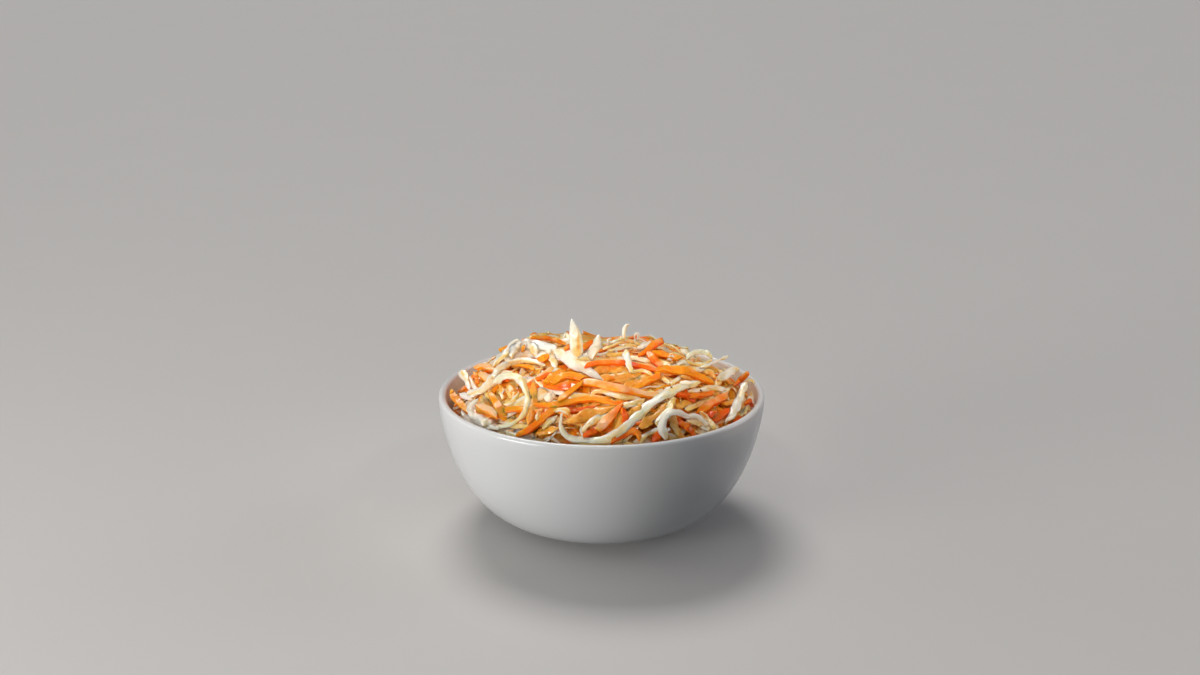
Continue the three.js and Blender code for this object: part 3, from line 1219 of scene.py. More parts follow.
        spine = finer(ribbon.spine)
        side = finer(ribbon.side)
        sizes = finer(np.column_stack([ribbon.width, ribbon.thickness]))
        for across in np.linspace(-1.0, 1.0, tracks):
            spot = spine + side * (across * sizes[:, :1] / 2)
            top = spot[:, 2] + sizes[:, 1] / 2 * (1 - round_off * across**2)
            np.maximum.at(self.heights, self.cells(spot[:, 0], spot[:, 1]), top)


@dataclass(frozen=True)
class Cut:
    """How the loose shreds of one kind are cut, laid and dressed. Pairs are the least and the most.

    Attributes:
        share: The share of all loose shreds.
        bend: How far they usually turn on the plan from end to end, in radians.
        bend_radius: The tightest curve in which they hang.
        shade, cream, cup: As in Ribbon.
    """

    kind: Kind
    share: float
    length: Pair
    width: Pair
    thickness: Pair
    bend: float
    bend_radius: float
    shade: Pair
    cream: Pair
    cup: float


@dataclass(frozen=True)
class Scatter:
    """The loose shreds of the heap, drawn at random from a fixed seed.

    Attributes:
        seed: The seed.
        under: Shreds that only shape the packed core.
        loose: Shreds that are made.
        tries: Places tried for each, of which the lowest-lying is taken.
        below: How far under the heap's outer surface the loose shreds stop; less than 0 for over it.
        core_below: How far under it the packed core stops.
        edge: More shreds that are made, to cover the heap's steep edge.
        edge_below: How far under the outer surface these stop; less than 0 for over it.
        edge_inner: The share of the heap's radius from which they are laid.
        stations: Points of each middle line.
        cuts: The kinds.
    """

    seed: int = 11
    under: int = 260
    loose: int = 520
    tries: int = 40
    below: float = -0.4
    core_below: float = 4.5
    edge: int = 130
    edge_below: float = -2.2
    edge_inner: float = 0.78
    stations: int = 18
    cuts: tuple[Cut, ...] = (
        Cut(CABBAGE, share=0.11, length=(18.0, 50.0), width=(1.0, 1.7), thickness=(0.6, 0.9),
            bend=2.2, bend_radius=4.0, shade=(0.1, 0.7), cream=(0.1, 0.5), cup=0.0),
        Cut(CABBAGE, share=0.41, length=(24.0, 64.0), width=(2.8, 6.2), thickness=(0.7, 1.1),
            bend=1.6, bend_radius=6.0, shade=(0.1, 0.8), cream=(0.1, 0.6), cup=0.03),
        Cut(GREENS, share=0.10, length=(22.0, 52.0), width=(2.4, 5.4), thickness=(0.6, 1.0),
            bend=2.0, bend_radius=5.0, shade=(0.3, 0.9), cream=(0.1, 0.5), cup=0.04),
        Cut(CARROT, share=0.38, length=(20.0, 56.0), width=(2.0, 3.3), thickness=(1.2, 1.9),
            bend=0.5, bend_radius=25.0, shade=(0.0, 0.8), cream=(0.1, 0.7), cup=0.0),
    )

    def draw(self, pile: Pile, rng: Rng, inner: float) -> Ribbon:
        """Draws one shred and lays it on the pile.

        Args:
            pile: The pile, which isn't changed.
            rng: The source of random numbers.
            inner: The share of the heap's radius from which shreds are laid. Those laid from further out
                than the middle run round the heap.

        Returns:
            The shred in its place.
        """
        cut = self.cuts[rng.choice(len(self.cuts), p=[c.share for c in self.cuts])]
        outermost_squared, hooked, veer, narrowest, lifted, lift_from = 0.96, 0.8, 0.6, 0.35, 0.3, 0.2
        widest, narrowed, speeds, lifts = 1.25, 1.6, (0.6, 3.0), (6.0, 18.0)
        reach = pile.heap.radius * np.sqrt(rng.uniform(inner**2, outermost_squared, self.tries))
        angle = rng.random(self.tries) * math.tau
        x = reach * np.cos(angle)
        y = reach * np.sin(angle) - pile.heap.forward
        best = int(np.argmax(pile.room(x, y)))
        length = rng.uniform(*cut.length)
        share = np.linspace(-0.5, 0.5, self.stations)
        bend = rng.normal() * cut.bend
        hook = rng.normal() * cut.bend * hooked
        start = rng.random() * math.tau
        if inner > 0:
            start = angle[best] + math.pi / 2 + rng.normal() * veer
        heading = start + bend * share + hook * share**2 * 2
        step = length / (self.stations - 1)
        plan = np.cumsum(np.column_stack([np.cos(heading), np.sin(heading)]) * step, axis=0)
        plan += np.array([x[best], y[best]]) - plan[self.stations // 2]
        plan = self.kept_in(plan, pile)
        narrowing = narrowed * np.abs(share) ** 3 * rng.uniform(*speeds)
        width = rng.uniform(*cut.width) * np.clip(widest - narrowing, narrowest, 1.0)
        thickness = np.full(self.stations, rng.uniform(*cut.thickness))
        roll, twist = 0.35, 1.2
        turn = rng.normal() * roll + rng.normal() * twist * share
        spine, side = pile.lay(plan, width, thickness, turn, cut.bend_radius)
        if rng.random() < lifted:
            lift = np.clip(share - lift_from, 0.0, None) ** 2
            spine[:, 2] += lift * rng.uniform(*lifts)
        shade, cream = rng.uniform(*cut.shade), rng.uniform(*cut.cream)
        return Ribbon(cut.kind, spine, side, width, thickness, shade, cream, cut.cup * rng.choice([-1, 1]))

    def kept_in(self, plan: Array, pile: Pile) -> Array:
        """Brings points of the plan inside the bowl's rim.

        Args:
            plan: The points, n by 2.
            pile: The pile in the bowl.

        Returns:
            The points where they may be.
        """
        radius = np.hypot(plan[:, 0], plan[:, 1])
        rim_gap, ease = 3.5, 6.0
        limit = pile.bowl.inner_rim - rim_gap
        over = np.maximum(radius - limit + ease, 0.0)
        wanted = np.where(over > 0, limit - ease + ease * np.tanh(over / ease), radius)
        return plan * (wanted / np.maximum(radius, TINY))[:, None]

    def over(self, ribbon: Ribbon, pile: Pile, percent: float = 85) -> float:
        """How far most of a shred lies over the heap's outer surface; less than 0 for under it."""
        x, y, z = ribbon.spine.T
        return float(np.percentile(z - pile.outer[pile.cells(x, y)], percent))

    def lay(self, pile: Pile, count: int, below: float, seed: int, inner: float = 0.0) -> list[Ribbon]:
        """Draws shreds and lays them, leaving out those that would stand too high.

        Args:
            pile: The pile, which is raised.
            count: The most shreds that are laid.
            below: How far under the heap's outer surface they stop.
            seed: The seed of the draw.
            inner: As in draw.

        Returns:
            The shreds, from the deepest up.
        """
        rng = np.random.default_rng(seed)
        laid = []
        most_draws = count * 3
        for _ in range(most_draws):
            ribbon = self.draw(pile, rng, inner)
            if self.over(ribbon, pile) > -below:
                continue
            pile.raise_under(ribbon)
            laid.append(ribbon)
            if len(laid) == count:
                break
        return laid

    def lay_under(self, pile: Pile) -> list[Ribbon]:
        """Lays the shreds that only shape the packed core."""
        return self.lay(pile, self.under, self.core_below, self.seed)

    def lay_loose(self, pile: Pile) -> list[Ribbon]:
        """Lays the shreds that are made."""
        laid = self.lay(pile, self.loose, self.below, self.seed + 1)
        return laid + self.lay(pile, self.edge, self.edge_below, self.seed + 2, self.edge_inner)


@dataclass(frozen=True)
class Placing:
    """How the named shreds are put on the pile.

    Attributes:
        stations: Points of each middle line.
        steepest: The most that a shred runs away from the camera for each millimetre across its view.
        bend_radius: The tightest curve in which a shred hangs.
        lean: What share of a shred's breadth the camera sees.
        sway: How far a standing shred bows away from the camera, as a share of its height.
        twist: How far it is turned about its own length from foot to tip.
        wobble: How far a laid shred turns about its own length, to and fro.
        painted_deep_shade: As in Ribbon.
        press: How far a laid shred is pressed into the pile, in millimetres.
        cup: As in Ribbon, for leaves; carrot stays flat.
        thick: Thickness of each kind.
    """

    stations: int = 36
    steepest: float = 1.3
    bend_radius: float = 30.0
    lean: float = 1.12
    sway: float = 0.8
    twist: float = math.radians(50.0)
    wobble: float = math.radians(12.0)
    painted_deep_shade: float = 0.45
    press: float = 0.1
    cup: float = 0.03
    thick: tuple[tuple[Kind, float], ...] = (
        (CABBAGE, 1.0),
        (GREENS, 0.9),
        (CARROT, 1.7),
    )

    def put(self, named: Named, pile: Pile, rng: Rng) -> Ribbon:
        """Puts one named shred where its route crosses the pile.

        Args:
            named: The shred.
            pile: The pile, which isn't changed.
            rng: The source of random numbers.

        Returns:
            The shred in its place.
        """
        squarest, lean_in, twist_from, stout, waves = 0.8, 0.6, 0.4, 1.4, (5.0, 12.0)
        pixels = smooth_route(np.array(named.route, dtype=float), self.stations)
        share = np.linspace(0.0, 1.0, self.stations)
        knots = np.linspace(0.0, 1.0, len(named.widths))
        width = pile.view.size_of(np.interp(share, knots, np.array(named.widths))) / self.lean
        thickness = np.minimum(dict(self.thick)[named.kind], width * squarest)
        rays = pile.view.rays(pixels)
        if named.pose is Pose.STANDING:
            foot = pile.view.eye + rays[0] * pile.cast(pixels[:1])[0]
            sway = self.sway * (share**2 - lean_in * share) * np.linalg.norm(np.ptp(pixels, axis=0))
            lengths = (foot[1] + pile.view.size_of(sway) - pile.view.eye[1]) / rays[:, 1]
        else:
            lengths = self.run(pixels, width, pile)
        spine = pile.view.eye + rays * lengths[:, None]
        along = unit(np.gradient(spine, axis=0))
        up = np.array([0.0, 0.0, 1.0])
        out = unit(up * (1 - named.facing) - rays * named.facing)
        side = unit(np.cross(out, along))
        turn = self.twist * (share - twist_from)
        if named.pose is Pose.LAID:
            turn = self.wobble * np.sin(share * rng.uniform(*waves) + rng.uniform(0.0, math.tau))
        side = unit(side * np.cos(turn)[:, None] + np.cross(along, side) * np.sin(turn)[:, None])
        if named.pose is Pose.STANDING:
            thickness = thickness * stout
        else:
            spine = pile.inside(spine, side, width, thickness)
        cup = 0.0 if named.kind is CARROT else self.cup
        return Ribbon(
            named.kind, spine, side, width, thickness, named.shade, named.cream, cup, self.painted_deep_shade
        )

    def run(self, pixels: Array, width: Array, pile: Pile) -> Array:
        """Lengths from the eye to a laid shred's middle line.

        Args:
            pixels: Where the camera sees it, n by 2.
            width: Breadth at each point.
            pile: The pile.

        Returns:
            The lengths.
        """
        along = unit(np.gradient(pixels, axis=0))
        across = np.column_stack([-along[:, 1], along[:, 0]]) * (width / pile.view.size_of(1.0))[:, None]
        touches = (-0.35, 0.0, 0.35)
        hits = np.min([pile.cast(pixels + across * share) for share in touches], axis=0)
        hits += self.press
        spacing = pile.view.size_of(np.linalg.norm(np.diff(pixels, axis=0), axis=1))
        lengths = -settle(-hits, spacing, self.bend_radius)
        most = spacing * self.steepest
        for i in range(1, len(lengths)):
            lengths[i] = min(lengths[i], lengths[i - 1] + most[i - 1])
        for i in range(len(lengths) - 2, -1, -1):
            lengths[i] = min(lengths[i], lengths[i + 1] + most[i])
        return eased(lengths)


NAMED = (
    # deep, broad and amber
    Named("amber_back", CABBAGE, ((594, 372), (604, 369), (616, 370), (628, 374)), (11, 15, 12), 0.95, 0.1),
    Named("amber_middle", CABBAGE, ((598, 380), (612, 378), (628, 377), (646, 378)),
          (11, 15, 12), 1.25, 0.0),
    Named("amber_right", CABBAGE, ((624, 386), (636, 382), (648, 378), (657, 378)), (9, 13, 10), 1.3, 0.0),
    Named("amber_spark", CARROT, ((604, 382), (608, 379.5), (613, 378)), (5, 5), 0.0, 0.0),
    Named("ring_yellow", CABBAGE, ((499, 384), (503, 391), (504, 399)), (12, 14, 11), 0.75, 0.0),
    Named("ring_amber", CABBAGE, ((509, 386), (512, 392), (514, 399)), (11, 12, 9), 1.2, 0.0),
    Named("amber_strip", CABBAGE, ((533, 383), (534, 396), (532, 410), (528, 425)), (8, 9, 8), 1.0, 0.1),
    Named("low_lens", CABBAGE, ((557, 416), (550, 421), (543, 428)), (7, 7), 0.55, 0.1),
    Named("low_gold", CABBAGE, ((538, 434), (548, 431), (558, 428)), (9, 9), 1.0, 0.0),
    Named("back_tan", CABBAGE, ((556, 345), (564, 342), (571, 342)), (10, 10), 0.25, 0.3),
    Named("back_gold", CABBAGE, ((701, 370), (709, 372), (715, 378)), (10, 9), 0.85, 0.1),
    Named("right_gold", CABBAGE, ((676, 409), (684, 404), (692, 402)), (9, 9), 1.1, 0.0),
    Named("right_gold_low", CABBAGE, ((722, 404), (729, 403), (736, 401)), (8, 8), 1.1, 0.0),
    # left of the heap
    Named("wall_curl", CABBAGE, ((461, 371), (465, 377), (468, 384), (470, 391)),
          (11, 7, 6), 0.05, 0.3, facing=0.8),
    Named("left_slab_high", CARROT, ((475, 368), (484, 366.5), (494, 369.5)), (7, 7), -0.3, 0.6),
    Named("left_slab_low", CARROT, ((480, 374), (485, 377), (491, 380)), (9, 9), -0.3, 0.6),
    Named("left_slab_side", CARROT, ((474, 373), (476, 378), (478, 384)), (4, 5), 0.2, 0.1),
    Named("left_stub", CABBAGE, ((470, 377), (473, 384), (476, 391)), (4, 5), 0.2, 0.4),
    Named("left_sweep_low", CABBAGE, ((468, 394), (478, 391), (487, 386), (495, 379), (503, 374),
           (512, 372)), (9, 12, 12, 9), 0.1, 0.4),
    Named("inner_curl", CABBAGE, ((504, 405), (511, 402.5), (516, 398), (518.5, 392)), (5, 5, 4), 0.15, 0.3),
    Named("ring_carrot", CARROT, ((490, 394), (496, 403), (501, 412), (505, 420)), (6, 8, 13), -0.1, 0.35),
    Named("ring", GREENS, ((494, 383), (502, 377), (511, 375.5), (519, 379), (524.5, 387), (527.3, 397),
           (527, 407), (522.5, 416), (514, 422.5), (504, 426), (495, 427)),
          (9, 10, 9, 6, 5.5, 6, 6), 0.25, 0.2),
    Named("pink_left", CARROT, ((474, 402), (482, 407), (490, 411), (497, 416)), (8, 7), 0.1, 0.75),
    Named("wall_carrot", CARROT, ((449, 391), (455, 398), (462, 405), (469, 413)), (7, 7), 0.1, 0.5),
    Named("pinkish_left", CABBAGE, ((460, 394), (466, 396.5), (472, 399)), (8, 7), 0.2, 0.8),
    Named("cream_crook", CABBAGE, ((478, 400), (471.5, 405), (471, 411), (475, 417), (482, 421), (490, 425),
           (499, 429)), (5, 7, 12, 14, 10), 0.0, 0.6),
    # the clump at the back left
    Named("clump_sheet", CABBAGE, ((505, 360), (516, 355), (530, 352), (545, 353), (560, 358)),
          (12, 17, 20, 16), -0.1, 0.75),
    Named("clump_high", CABBAGE, ((513, 346), (525, 344), (540, 345), (556, 349)), (11, 13), -0.1, 0.7),
    Named("clump_back", CABBAGE, ((493, 366), (500, 359), (508, 352), (513, 344), (518, 340)),
          (6, 8, 7), 0.05, 0.3),
    Named("clump_top", CARROT, ((531, 337.5), (540, 338), (550, 338.5), (558, 341), (565, 344)),
          (4, 5, 4), 0.1, 0.1),
    Named("clump_left", CABBAGE, ((511, 357), (514, 349), (519, 342)), (8, 11, 8), 0.0, 0.5),
    Named("clump_right", CABBAGE, ((527, 342), (533, 347), (536, 355)), (9, 12, 9), -0.05, 0.5),
    Named("clump_spot", CARROT, ((524.5, 345), (523.5, 348), (523, 351)), (4, 4), -0.1, 0.1),
    Named("clump_wedge", CARROT, ((537, 361), (543, 358.5), (550, 355)), (5, 9, 6), 0.0, 0.05),
    Named("hang_mid", CABBAGE, ((550, 350), (553, 359), (555, 368)), (6, 8), 0.0, 0.4),
    Named("wide_rib", CABBAGE, ((556, 350), (566, 356), (576, 363), (586, 369.5), (596, 376), (603, 380)),
          (12, 17, 16, 11, 4), 0.0, 0.45),
    Named("left_sweep", CABBAGE, ((492, 377), (498, 370), (505, 365), (514, 361.5), (524, 360.5), (535, 362),
           (545, 365.5)), (7, 8, 7, 6), 0.1, 0.4),
    Named("thin_slab", CARROT, ((513, 366), (522, 366), (530, 367), (534, 370)), (3, 4), -0.1, 0.2),
    Named("under_fan", CABBAGE, ((535, 379), (545, 386), (558, 392), (572, 396), (590, 397)),
          (6, 8, 8), 0.3, 0.3),
    Named("fan_fill", CARROT, ((549, 382), (562, 381), (575, 380)), (9, 9), 0.5, 0.0),
    Named("fan_chip", CARROT, ((537, 380), (543, 377.5), (549, 374)), (5, 5), 0.9, 0.1),
    Named("fan_low", CARROT, ((543, 383), (555, 386.5), (570, 386), (583, 382.5)), (8, 10, 8), 0.7, 0.0),
    Named("fan_mid", CARROT, ((546, 382), (553, 376), (562, 371.5)), (7, 7), 0.05, 0.1),
    Named("fan_front", CARROT, ((553, 383), (562, 377), (573, 376), (583, 379)), (8, 9, 8), 0.0, 0.0),
    # the back
    Named("back_spot", CARROT, ((565, 350), (568, 347.5), (571, 346)), (5, 5), 0.0, 0.0),
    Named("behind_left", CARROT, ((582, 349), (587, 345.5), (592, 342)), (7, 7), 0.3, 0.1),
    Named("back_chip", CARROT, ((599, 352), (603, 350), (607, 348)), (4, 4), 0.2, 0.2),
    Named("high_left", CABBAGE, ((576, 358.5), (588, 358.5), (604, 359), (620, 359), (636, 358), (650, 362)),
          (5, 7, 7, 6), 0.2, 0.4),
    Named("high_carrot", CARROT, ((585, 367), (593, 364), (604, 362.7), (618, 363), (631, 364.7), (643, 367),
           (656, 371)), (5, 6, 5), 0.5, 0.25),
    Named("high_pale", CABBAGE, ((596, 355.5), (606, 353), (616, 350)), (4, 4), -0.3, 0.2),
    Named("high_yellow", GREENS, ((607, 354.5), (616, 354.5), (624, 352.5)), (5, 5), 0.5, 0.0),
    Named("high_low", GREENS, ((609, 351), (619, 348.5), (629, 345.5), (639, 346.5)), (5, 5), 0.1, 0.1),
    Named("high_mid", CABBAGE, ((603, 349), (612, 346), (620, 342), (627, 341), (634, 341.5), (640, 345)),
          (4, 5, 5), 0.0, 0.2),
    Named("high_top", GREENS, ((604, 344), (612, 342), (619, 339.5), (625, 338)), (4, 4), 0.1, 0.1),
    Named("high_end", CABBAGE, ((637, 348), (644, 345), (651, 342)), (6, 6), -0.1, 0.3),
    Named("hang_ledge", CABBAGE, ((631, 373), (640, 370.5), (648, 372.5), (654, 377)), (4, 4), 0.2, 0.4),
    Named("hanging_white", CABBAGE, ((626, 350), (626.5, 357), (628, 363), (630, 369), (632.5, 373)),
          (9, 9, 7, 4), -0.05, 0.2, facing=0.9),
    Named("right_top", CARROT, ((639, 356), (646, 351.5), (652, 346.5), (657, 343), (662, 341)),
          (4, 6, 9, 9), 0.5, 0.1),
    Named("right_step", CARROT, ((652, 353), (661, 354), (671, 357), (680, 358.5)), (7, 7), 0.2, 0.0),
    Named("right_step_low", CARROT, ((648, 353), (652, 358), (657, 363), (662, 367)), (8, 8), 0.7, 0.25),
    Named("right_back_chip", GREENS, ((677, 365), (683, 362), (689, 365)), (6, 6), 0.0, 0.2),
    Named("back_right_gold", GREENS, ((687, 361), (694, 364), (703, 364), (711, 360)), (5, 6, 5), 0.6, 0.0),
    Named("back_right_curl", GREENS, ((687, 359), (690, 354.5), (697, 352), (705, 352.5), (712, 357)),
          (5, 7, 7, 5), 0.0, 0.2, facing=0.8),
    Named("back_right_low", CABBAGE, ((684, 367), (694, 368.5), (705, 369)), (6, 6), 0.3, 0.3),
    Named("back_stick", CABBAGE, ((700, 368), (709, 364.5), (718, 360.5), (728, 356)), (3.5, 4), -0.2, 0.3),
    Named("right_tan_back", CABBAGE, ((716, 386), (719, 380), (722, 374)), (9, 8), 0.45, 0.3),
    Named("right_lump", CABBAGE, ((719, 380), (725, 375), (732, 370.5), (738, 368.5)),
          (10, 12, 9), 0.05, 0.4),
    Named("right_spike", CABBAGE, ((671, 386), (675, 381), (682, 376)), (5, 5), 0.3, 0.2),
    # the middle
    Named("right_curve", CABBAGE, ((658, 376), (664, 379), (669, 383.5)), (8, 8), 0.5, 0.1),
    Named("under_bright", CABBAGE, ((681, 376), (689, 378), (697, 379)), (6, 6), 0.7, 0.2),
    Named("big_bright", CARROT, ((656, 372), (662, 369.5), (674, 370), (686, 371), (695, 375), (704, 379),
           (713, 383)), (8, 9, 9, 8, 5), 0.0, 0.2),
    Named("mid_right", CARROT, ((635, 389), (644, 384), (652, 379.5), (660, 375)), (5, 7), -0.05, 0.1),
    Named("under_long", CABBAGE, ((591, 396), (595, 392), (604, 391.5), (616, 394), (628, 397), (640, 399)),
          (6, 8, 7), 0.25, 0.3),
    Named("long_coated", CARROT, ((582, 382.5), (593, 383), (606, 386), (620, 389), (635, 392), (648, 395),
           (660, 396)), (8, 9, 8, 6), 0.15, 0.65),
    Named("cross_low_end", CARROT, ((557, 408), (547, 415), (537, 423.5), (528, 430.5), (517, 436)),
          (7, 7), 0.45, 0.05),
    Named("fleck_left", CABBAGE, ((545, 408), (539, 412), (537, 420)), (5, 5), 0.3, 0.3),
    Named("cross_low", CARROT, ((563, 408), (572, 411), (582, 410), (594, 407.5)), (6, 5), 1.1, 0.0),
    Named("cross_over", CARROT, ((535.5, 405), (548, 405.5), (562, 404), (575, 401), (587, 399), (597, 399),
           (607, 401.5), (615, 403.5), (623, 402)), (5, 6.5, 7, 5), 0.3, 0.0),
    Named("cross_under", CARROT, ((583, 381.5), (575, 388), (567, 394.5), (559, 401)), (5, 7), -0.35, 0.1),
    Named("broad_tan", CABBAGE, ((566, 422), (577, 418), (590, 414), (603, 410), (615, 406)),
          (11, 13, 10), 1.15, 0.1),
    Named("tan_ridge", CABBAGE, ((612, 411), (622, 406.5), (632, 404), (644, 401)), (8, 8), 0.3, 0.3),
    Named("sweep_gold", CABBAGE, ((624, 417), (632, 412), (640, 405)), (9, 8), 1.0, 0.0),
    Named("low_rise", CABBAGE, ((582, 432), (588, 425), (597, 419.5), (607, 416), (618, 409)),
          (7, 8, 6), 0.4, 0.35),
    Named("low_red", CARROT, ((584, 436), (592, 432), (600, 429)), (7, 7), 1.2, 0.0),
    Named("coated_low", CARROT, ((598, 430), (605, 423), (612, 415), (618, 409), (622, 405)),
          (10, 12, 9, 6), 0.3, 0.55),
    Named("low_drop", CARROT, ((622, 409), (625, 416), (625, 424)), (6, 8), 0.5, 0.0),
    # the front right
    Named("low_arch", CARROT, ((612, 441), (622, 436), (632, 431.5), (638, 434), (640, 441)),
          (6, 6), 0.6, 0.1),
    Named("pale_arch", CABBAGE, ((640, 442), (645, 436), (652, 431.5), (660, 428)), (6, 6), 0.35, 0.2),
    Named("low_wedge", CARROT, ((652, 441), (658, 436), (662, 432)), (11, 7), 1.1, 0.0),
    Named("wide_gold", CABBAGE, ((640, 427), (650, 420), (660, 412), (667, 404)), (12, 13), 1.0, 0.1),
    Named("wide_green", GREENS, ((656, 424), (664, 415), (670, 406), (674, 398)), (10, 10, 8), 0.6, 0.1),
    Named("deep_right", CARROT, ((676, 421), (683, 425), (688, 426)), (9, 8), 1.1, 0.0),
    Named("deep_low", CARROT, ((686, 427), (691, 431), (694, 437)), (7, 7), 0.8, 0.0),
    Named("right_inner", CABBAGE, ((672, 414), (674, 424), (678, 432), (684, 438)), (8, 9), 0.5, 0.2),
    Named("right_film", CABBAGE, ((690, 422), (700, 424), (709, 430)), (9, 8), 0.4, 0.3),
    Named("right_tan", CABBAGE, ((686, 410), (695, 406), (705, 402.5), (713, 400)), (8, 8), 0.5, 0.2),
    Named("right_carrot", CARROT, ((677, 395), (685, 395.5), (695, 400.5)), (6, 8), 1.1, 0.0),
    Named("right_pink", CABBAGE, ((688, 392), (700, 390), (714, 388), (726, 390)), (6, 7, 10), 0.3, 0.6),
    Named("right_sliver", CARROT, ((691, 396.5), (702, 395.5), (713, 393)), (6, 5), 0.3, 0.0),
    Named("block_low", CARROT, ((702, 411), (710, 414), (718, 417)), (9, 9), 1.2, 0.0),
    Named("block_right", CARROT, ((714, 421), (721, 415), (728, 410)), (8, 8), 1.3, 0.05),
    Named("coated_right", CARROT, ((697, 413), (705, 408), (714, 402.5), (722, 398), (728, 394)),
          (6, 9, 9, 7), 0.6, 0.35),
    Named("right_outer", CABBAGE, ((700, 412), (706, 418), (712, 424), (716, 430)), (6, 7), 0.3, 0.3),
    Named("right_arch", CABBAGE, ((666, 439), (663, 431), (662.5, 423), (666, 415.5), (672, 411.5),
           (680, 413), (687, 416.5), (695, 416), (702, 419.5), (707, 425)), (8, 10, 9, 6, 6, 5), -0.15, 0.4),
    Named("wall_tan", CABBAGE, ((751, 392), (750, 401), (745, 411)), (8, 9, 7), 0.35, 0.3),
    Named("wall_tan_low", CABBAGE, ((744, 400), (741, 410), (734, 420)), (8, 9), 0.5, 0.2),
    Named("wall_chip", CABBAGE, ((741, 414), (747, 409), (752, 407)), (7, 6), 0.5, 0.2),
    Named("wall_dash_low", CARROT, ((734, 422), (741, 417.5), (748, 413)), (5, 5), 1.0, 0.2),
    Named("wall_dash", CARROT, ((745, 404), (750, 401), (756, 406)), (5, 5), 1.0, 0.1),
    Named("wall_wedge", CARROT, ((734, 385.5), (741, 379.5), (748, 373)), (3, 7), 0.15, 0.0),
    Named("wall_hug", CABBAGE, ((745, 382), (750, 380), (756, 384)), (4, 4), 0.0, 0.3),
    Named("right_vertical", CABBAGE, ((746, 383), (742, 391), (739, 400), (735, 409), (730, 417),
           (725, 423)), (8, 9, 9, 8), 0.0, 0.35),
    Named("tan_hook", CABBAGE, ((554, 411), (560, 409.5), (566, 411), (569, 415)), (7, 6), 0.6, 0.1),
    Named("front_sweep", GREENS, ((561.5, 414), (560.5, 421), (561.5, 428), (565, 434), (571, 438),
           (582, 440), (594, 440.5), (607, 438.5), (618, 433.5), (627, 426), (636, 417), (645, 408.5),
           (654, 401.5), (665, 394.5), (676, 389), (688, 385), (699, 382)),
          (3, 6, 8, 9, 10, 10, 10, 11, 12, 10, 7), 0.1, 0.45),
    # standing up
    Named("tall_upright", CABBAGE, ((577, 357), (576.5, 348), (576, 340), (574.5, 331), (573, 325),
           (571.5, 320)), (15, 14, 13, 12, 9, 6), -0.2, 0.3, pose=Pose.STANDING, facing=1.0),
    Named("second_upright", CABBAGE, ((590, 358), (593.5, 351), (597, 344), (599, 336.5)),
          (12, 13, 11, 8), -0.25, 0.3, pose=Pose.STANDING, facing=1.0),
    Named("sprig", CABBAGE, ((625, 340), (624, 333), (625, 327), (628.5, 324.5)),
          (6, 4, 3), -0.4, 0.3, pose=Pose.STANDING, facing=1.0),
    Named("sprig_curl", CABBAGE, ((635.5, 342), (634.5, 336.5), (636, 333.5), (638.3, 335), (637.5, 339)),
          (2.5, 2.5), -0.4, 0.3, pose=Pose.STANDING, facing=1.0),
    Named("tiny_curl", CABBAGE, ((609, 344), (607.5, 340), (610.5, 338.5)),
          (2.5, 2), -0.3, 0.3, pose=Pose.STANDING, facing=1.0),
)


